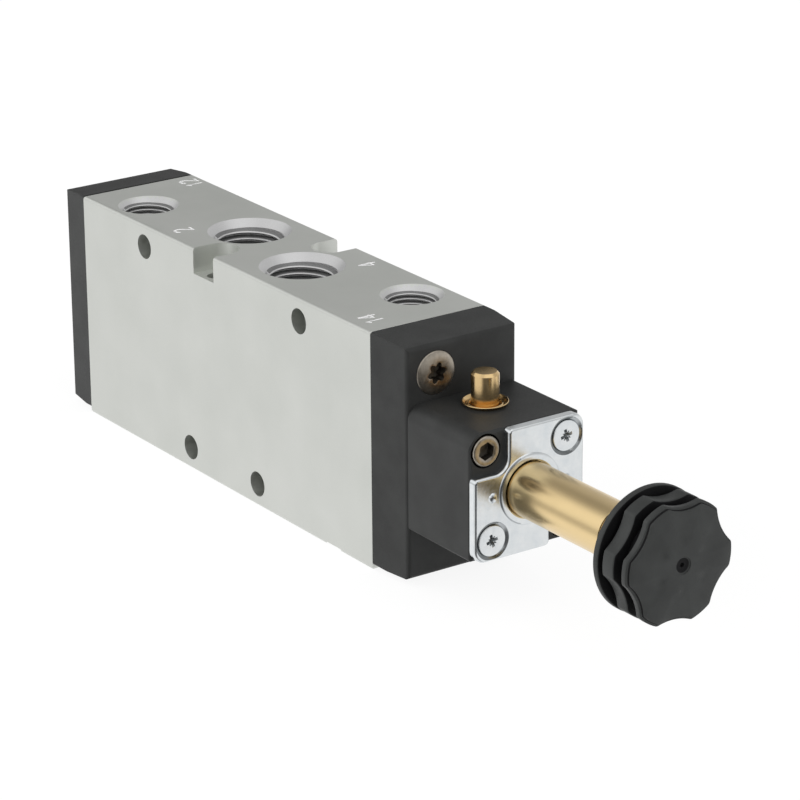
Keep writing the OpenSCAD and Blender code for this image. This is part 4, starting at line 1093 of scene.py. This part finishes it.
def cross_screw(name, y, z, turn):
    low = span("plate_screws", 0)[0]
    face = plate_front - 0.08
    outline = [(0, low), (SMALL_SHANK_R, low), (SMALL_SHANK_R, PLATE_BACK),
        (CROSS_HEAD_R, plate_front - 0.35), (CROSS_HEAD_R, face - 0.12)]
    outline += arc(CROSS_HEAD_R - 0.12, face - 0.12, 0.12, 0, 90, 3) + [(0, face + 0.02)]
    screw = lathe(name, outline, 64, ALONG_X, (0, y, z))
    screw.data.materials.append(FINISHES["zinc_plate"])
    cross = prism("cross", cross_outline(1.4, 0.34), face - 1.1, face + 0.5, 0.55)
    # The cross and its four marks get the darker zinc: painted shade in the recess
    combine(screw, move(coated(cross, rolled_zinc), y, z, turn))
    for mark in range(4):
        corners = [(0.5, -0.16), (0.95, -0.1), (0.95, 0.1), (0.5, 0.16)]
        tick = coated(prism("tick", corners, face - 0.3, face + 0.3), rolled_zinc)
        combine(screw, move(tick, y, z, turn + math.pi / 4 + mark * math.pi / 2))
    bevel_edges(screw, 0.05, FINISHES["zinc_plate"])
    hand_over(screw, "valve", "zinc_plate", ["plate_screws"])


for side, word in SIDES:
    socket_screw("socket_screw_" + word, -side * BLOCK_SCREW, AXIS_Z + side * BLOCK_SCREW)
    cross_screw("cross_screw_" + word, side * PLATE_SCREW, AXIS_Z + side * PLATE_SCREW, 0.25)

# %% [markdown]
# ## The override pin and its bush
# The pin has a groove for its O-ring, a collar that stops it and a chamfer at the top. The bush
# has a thin flared lip and a low inner collar. Both are outlines that are spun round the upright
# axis.

# %% Turn the pin and the bush
PIN_R = 2.5
GROOVE_R = 1.4
GROOVE_LOW, GROOVE_HIGH = AXIS_Z - 0.75, AXIS_Z + 0.55
STOP_R = 3.05
STOP_LOW, STOP_HIGH = BLOCK_TOP - 5.9, BLOCK_TOP - 4.3
pin_low, pin_high = span("override_pin", 2)
pin_outline = [(0, pin_low), (2.2, pin_low), (PIN_R, pin_low + 0.3), (PIN_R, GROOVE_LOW),
    (GROOVE_R, GROOVE_LOW), (GROOVE_R, GROOVE_HIGH), (PIN_R, GROOVE_HIGH), (PIN_R, STOP_LOW),
    (STOP_R, STOP_LOW), (STOP_R, STOP_HIGH), (PIN_R, STOP_HIGH), (PIN_R, pin_high - 0.5),
    (PIN_R - 0.45, pin_high), (0, pin_high - 0.02)]
pin = lathe("push_pin", pin_outline, 128, UPRIGHT, (PIN_X, 0, 0))
smooth(pin, 30)
hand_over(pin, "override_button", "polished_brass", ["override_pin"])

LIP_R = span("override_bush", 0)[1] - PIN_X
BUSH_R = 3.6
BUSH_BORE = 2.55
BUSH_DEPTH = 4
bush_outline = [(BUSH_BORE, BLOCK_TOP - BUSH_DEPTH), (BUSH_R, BLOCK_TOP - BUSH_DEPTH),
    (BUSH_R, BLOCK_TOP), (3.72, BLOCK_TOP + 0.12), (LIP_R - 0.1, BLOCK_TOP + 0.42),
    (LIP_R, BLOCK_TOP + 0.55)]
bush_outline += arc(LIP_R - 0.12, BLOCK_TOP + 0.58, 0.12, 0, 150, 5)
bush_outline += [(LIP_R - 0.42, BLOCK_TOP + 0.3), (3.58, BLOCK_TOP + 0.02), (3.36, BLOCK_TOP + 0.02),
    (3.2, BLOCK_TOP + 0.26), (3.05, BLOCK_TOP + 0.34), (2.9, BLOCK_TOP + 0.26),
    (2.72, BLOCK_TOP - 0.05), (2.6, BLOCK_TOP - 0.6), (BUSH_BORE, BLOCK_TOP - 0.9),
    (BUSH_BORE, BLOCK_TOP - BUSH_DEPTH)]
bush = lathe("flared_bush", bush_outline, 96, UPRIGHT, (PIN_X, 0, 0))
smooth(bush, 30)
hand_over(bush, "valve", "polished_brass", ["override_bush"])

# %% [markdown]
# ## The studio
# The object stands on a white floor under a wide soft light from the front left. The camera sees
# a pure white floor and a white world, which keep a faint shadow. Mirrors don't see the floor
# and the lamps. Metal sees a room in the world instead. It is a strip of tones from the front
# over the top to the back: a dark line at the horizon, a bright front, a narrow gap between the
# lamps, then a softer back. One glow overhead and a few dark spots complete it. A brass tube
# shows that strip as its long bands.

# %% Floor, lights and world
# Degrees from the front horizon up over the top, each with its tone. Negative ones lie below.
ROOM = [(-180, 0.88), (-100, 0.90), (-60, 0.96), (-33, 1.0), (-23, 0.94), (-15, 0.72), (-8, 0.56),
    (0, 0.55), (6, 0.72), (13, 0.94), (30, 1.0), (50, 0.98), (60, 0.80), (70, 0.56), (84, 0.37),
    (100, 0.33), (112, 0.39), (124, 0.47), (150, 0.58), (168, 0.68), (180, 0.88)]
ROOM_STRENGTH = 1.06
FILL_STRENGTH = 0.5
AIM = Vector((0, 0, 0.022))
# A direction, an inner and an outer angle, and for a dark spot its depth
GLOW = ((0.45, 0.12, 0.885), 22, 42)
DARK_SPOTS = [((0.842, -0.411, -0.348), 20, 42, 0.85), ((-0.95, 0.30, 0.06), 10, 30, 0.6),
    ((-0.08, 0.934, -0.348), 5, 17, 0.6)]


def around(net, ray, middle, inner, outer):
    """1 within a few degrees of one direction, and 0 further away, with a soft edge."""
    near = net.node("VectorMath", {"operation": "DOT_PRODUCT"}, {0: ray, 1: middle}, "Value")
    return net.node("MapRange", {"interpolation_type": "SMOOTHSTEP"}, {"Value": near,
        "From Min": math.cos(math.radians(outer)), "From Max": math.cos(math.radians(inner))})


def room_tone(net):
    """The tone that metal sees along a ray: the strip of tones with a few dark spots in it."""
    ray = net.node("TexCoord", {}, {}, "Generated")
    up = net.node("SeparateXYZ", {}, {0: ray}, "Z")
    front = net.node("SeparateXYZ", {}, {0: ray}, "Y") * -1.0
    turn = net.sum("ARCTAN2", up, front) / math.tau + 0.5
    stops = [((angle + 180) / 360, grey(level)) for angle, level in ROOM]
    tone = net.node("ValToRGB", {"stops": stops}, {0: turn})
    tone = net.sum("MAXIMUM", tone, around(net, ray, *GLOW))
    for middle, inner, outer, depth in DARK_SPOTS:
        tone = tone * (1.0 - depth * around(net, ray, middle, inner, outer))
    return tone


def floor_material():
    """Pure white where it is seen, and a dim grey that lights the object's lower side a little."""
    finish = Finish("white_floor", roughness=0.9, specular_ior_level=0.0, emission_strength=1.0)
    seen = finish.seen()
    finish.feed("Base Color", finish.blend(seen, grey(0.9), grey(0.15)))
    finish.feed("Emission Color", finish.blend(seen, grey(0.0), grey(0.90)))
    return finish.material


floor = start(bpy.ops.mesh.primitive_plane_add, "studio_floor", size=8)
floor.data.materials.append(floor_material())
floor.visible_glossy = False


def soft_light(name, place, size, power):
    """A wide lamp that looks at the object and that mirrors don't show."""
    bpy.ops.object.select_all(action="DESELECT")
    bpy.ops.object.light_add(type="AREA", location=place)
    light = bpy.context.object
    light.name = name
    light.data.shape = "RECTANGLE"
    light.data.size, light.data.size_y = size
    light.data.energy = power
    light.visible_glossy = False
    light.rotation_mode = "QUATERNION"
    light.rotation_quaternion = (AIM - Vector(place)).to_track_quat("-Z", "Y")


soft_light("front_left", (-0.60, -0.9, 0.42), (1.8, 1.1), 12.0)
soft_light("right_side", (1.0, 0.25, 0.35), (1.2, 1.0), 4.0)
soft_light("overhead", (0.50, 0.15, 0.98), (1.0, 0.5), 0.8)


def studio_world():
    """White for the camera, the room for mirrors, and an even fill for all other light."""
    world = bpy.data.worlds.new("studio")
    bpy.context.scene.world = world
    world.use_nodes = True
    net = Net(world.node_tree)
    net.tree.nodes.clear()
    room = net.node("Background", {}, {"Color": room_tone(net), "Strength": ROOM_STRENGTH})
    fill = net.node("Background", {}, {"Color": grey(1.0), "Strength": FILL_STRENGTH})
    white = net.node("Background", {}, {"Color": grey(1.0)})
    glossy = net.node("LightPath", {}, {}, "Is Glossy Ray")
    lit = net.node("MixShader", {}, {0: glossy, 1: fill, 2: room})
    direct = net.node("LightPath", {}, {}, "Is Camera Ray")
    shown = net.node("MixShader", {}, {0: direct, 1: lit, 2: white})
    net.node("OutputWorld", {}, {0: shown}, None)


studio_world()
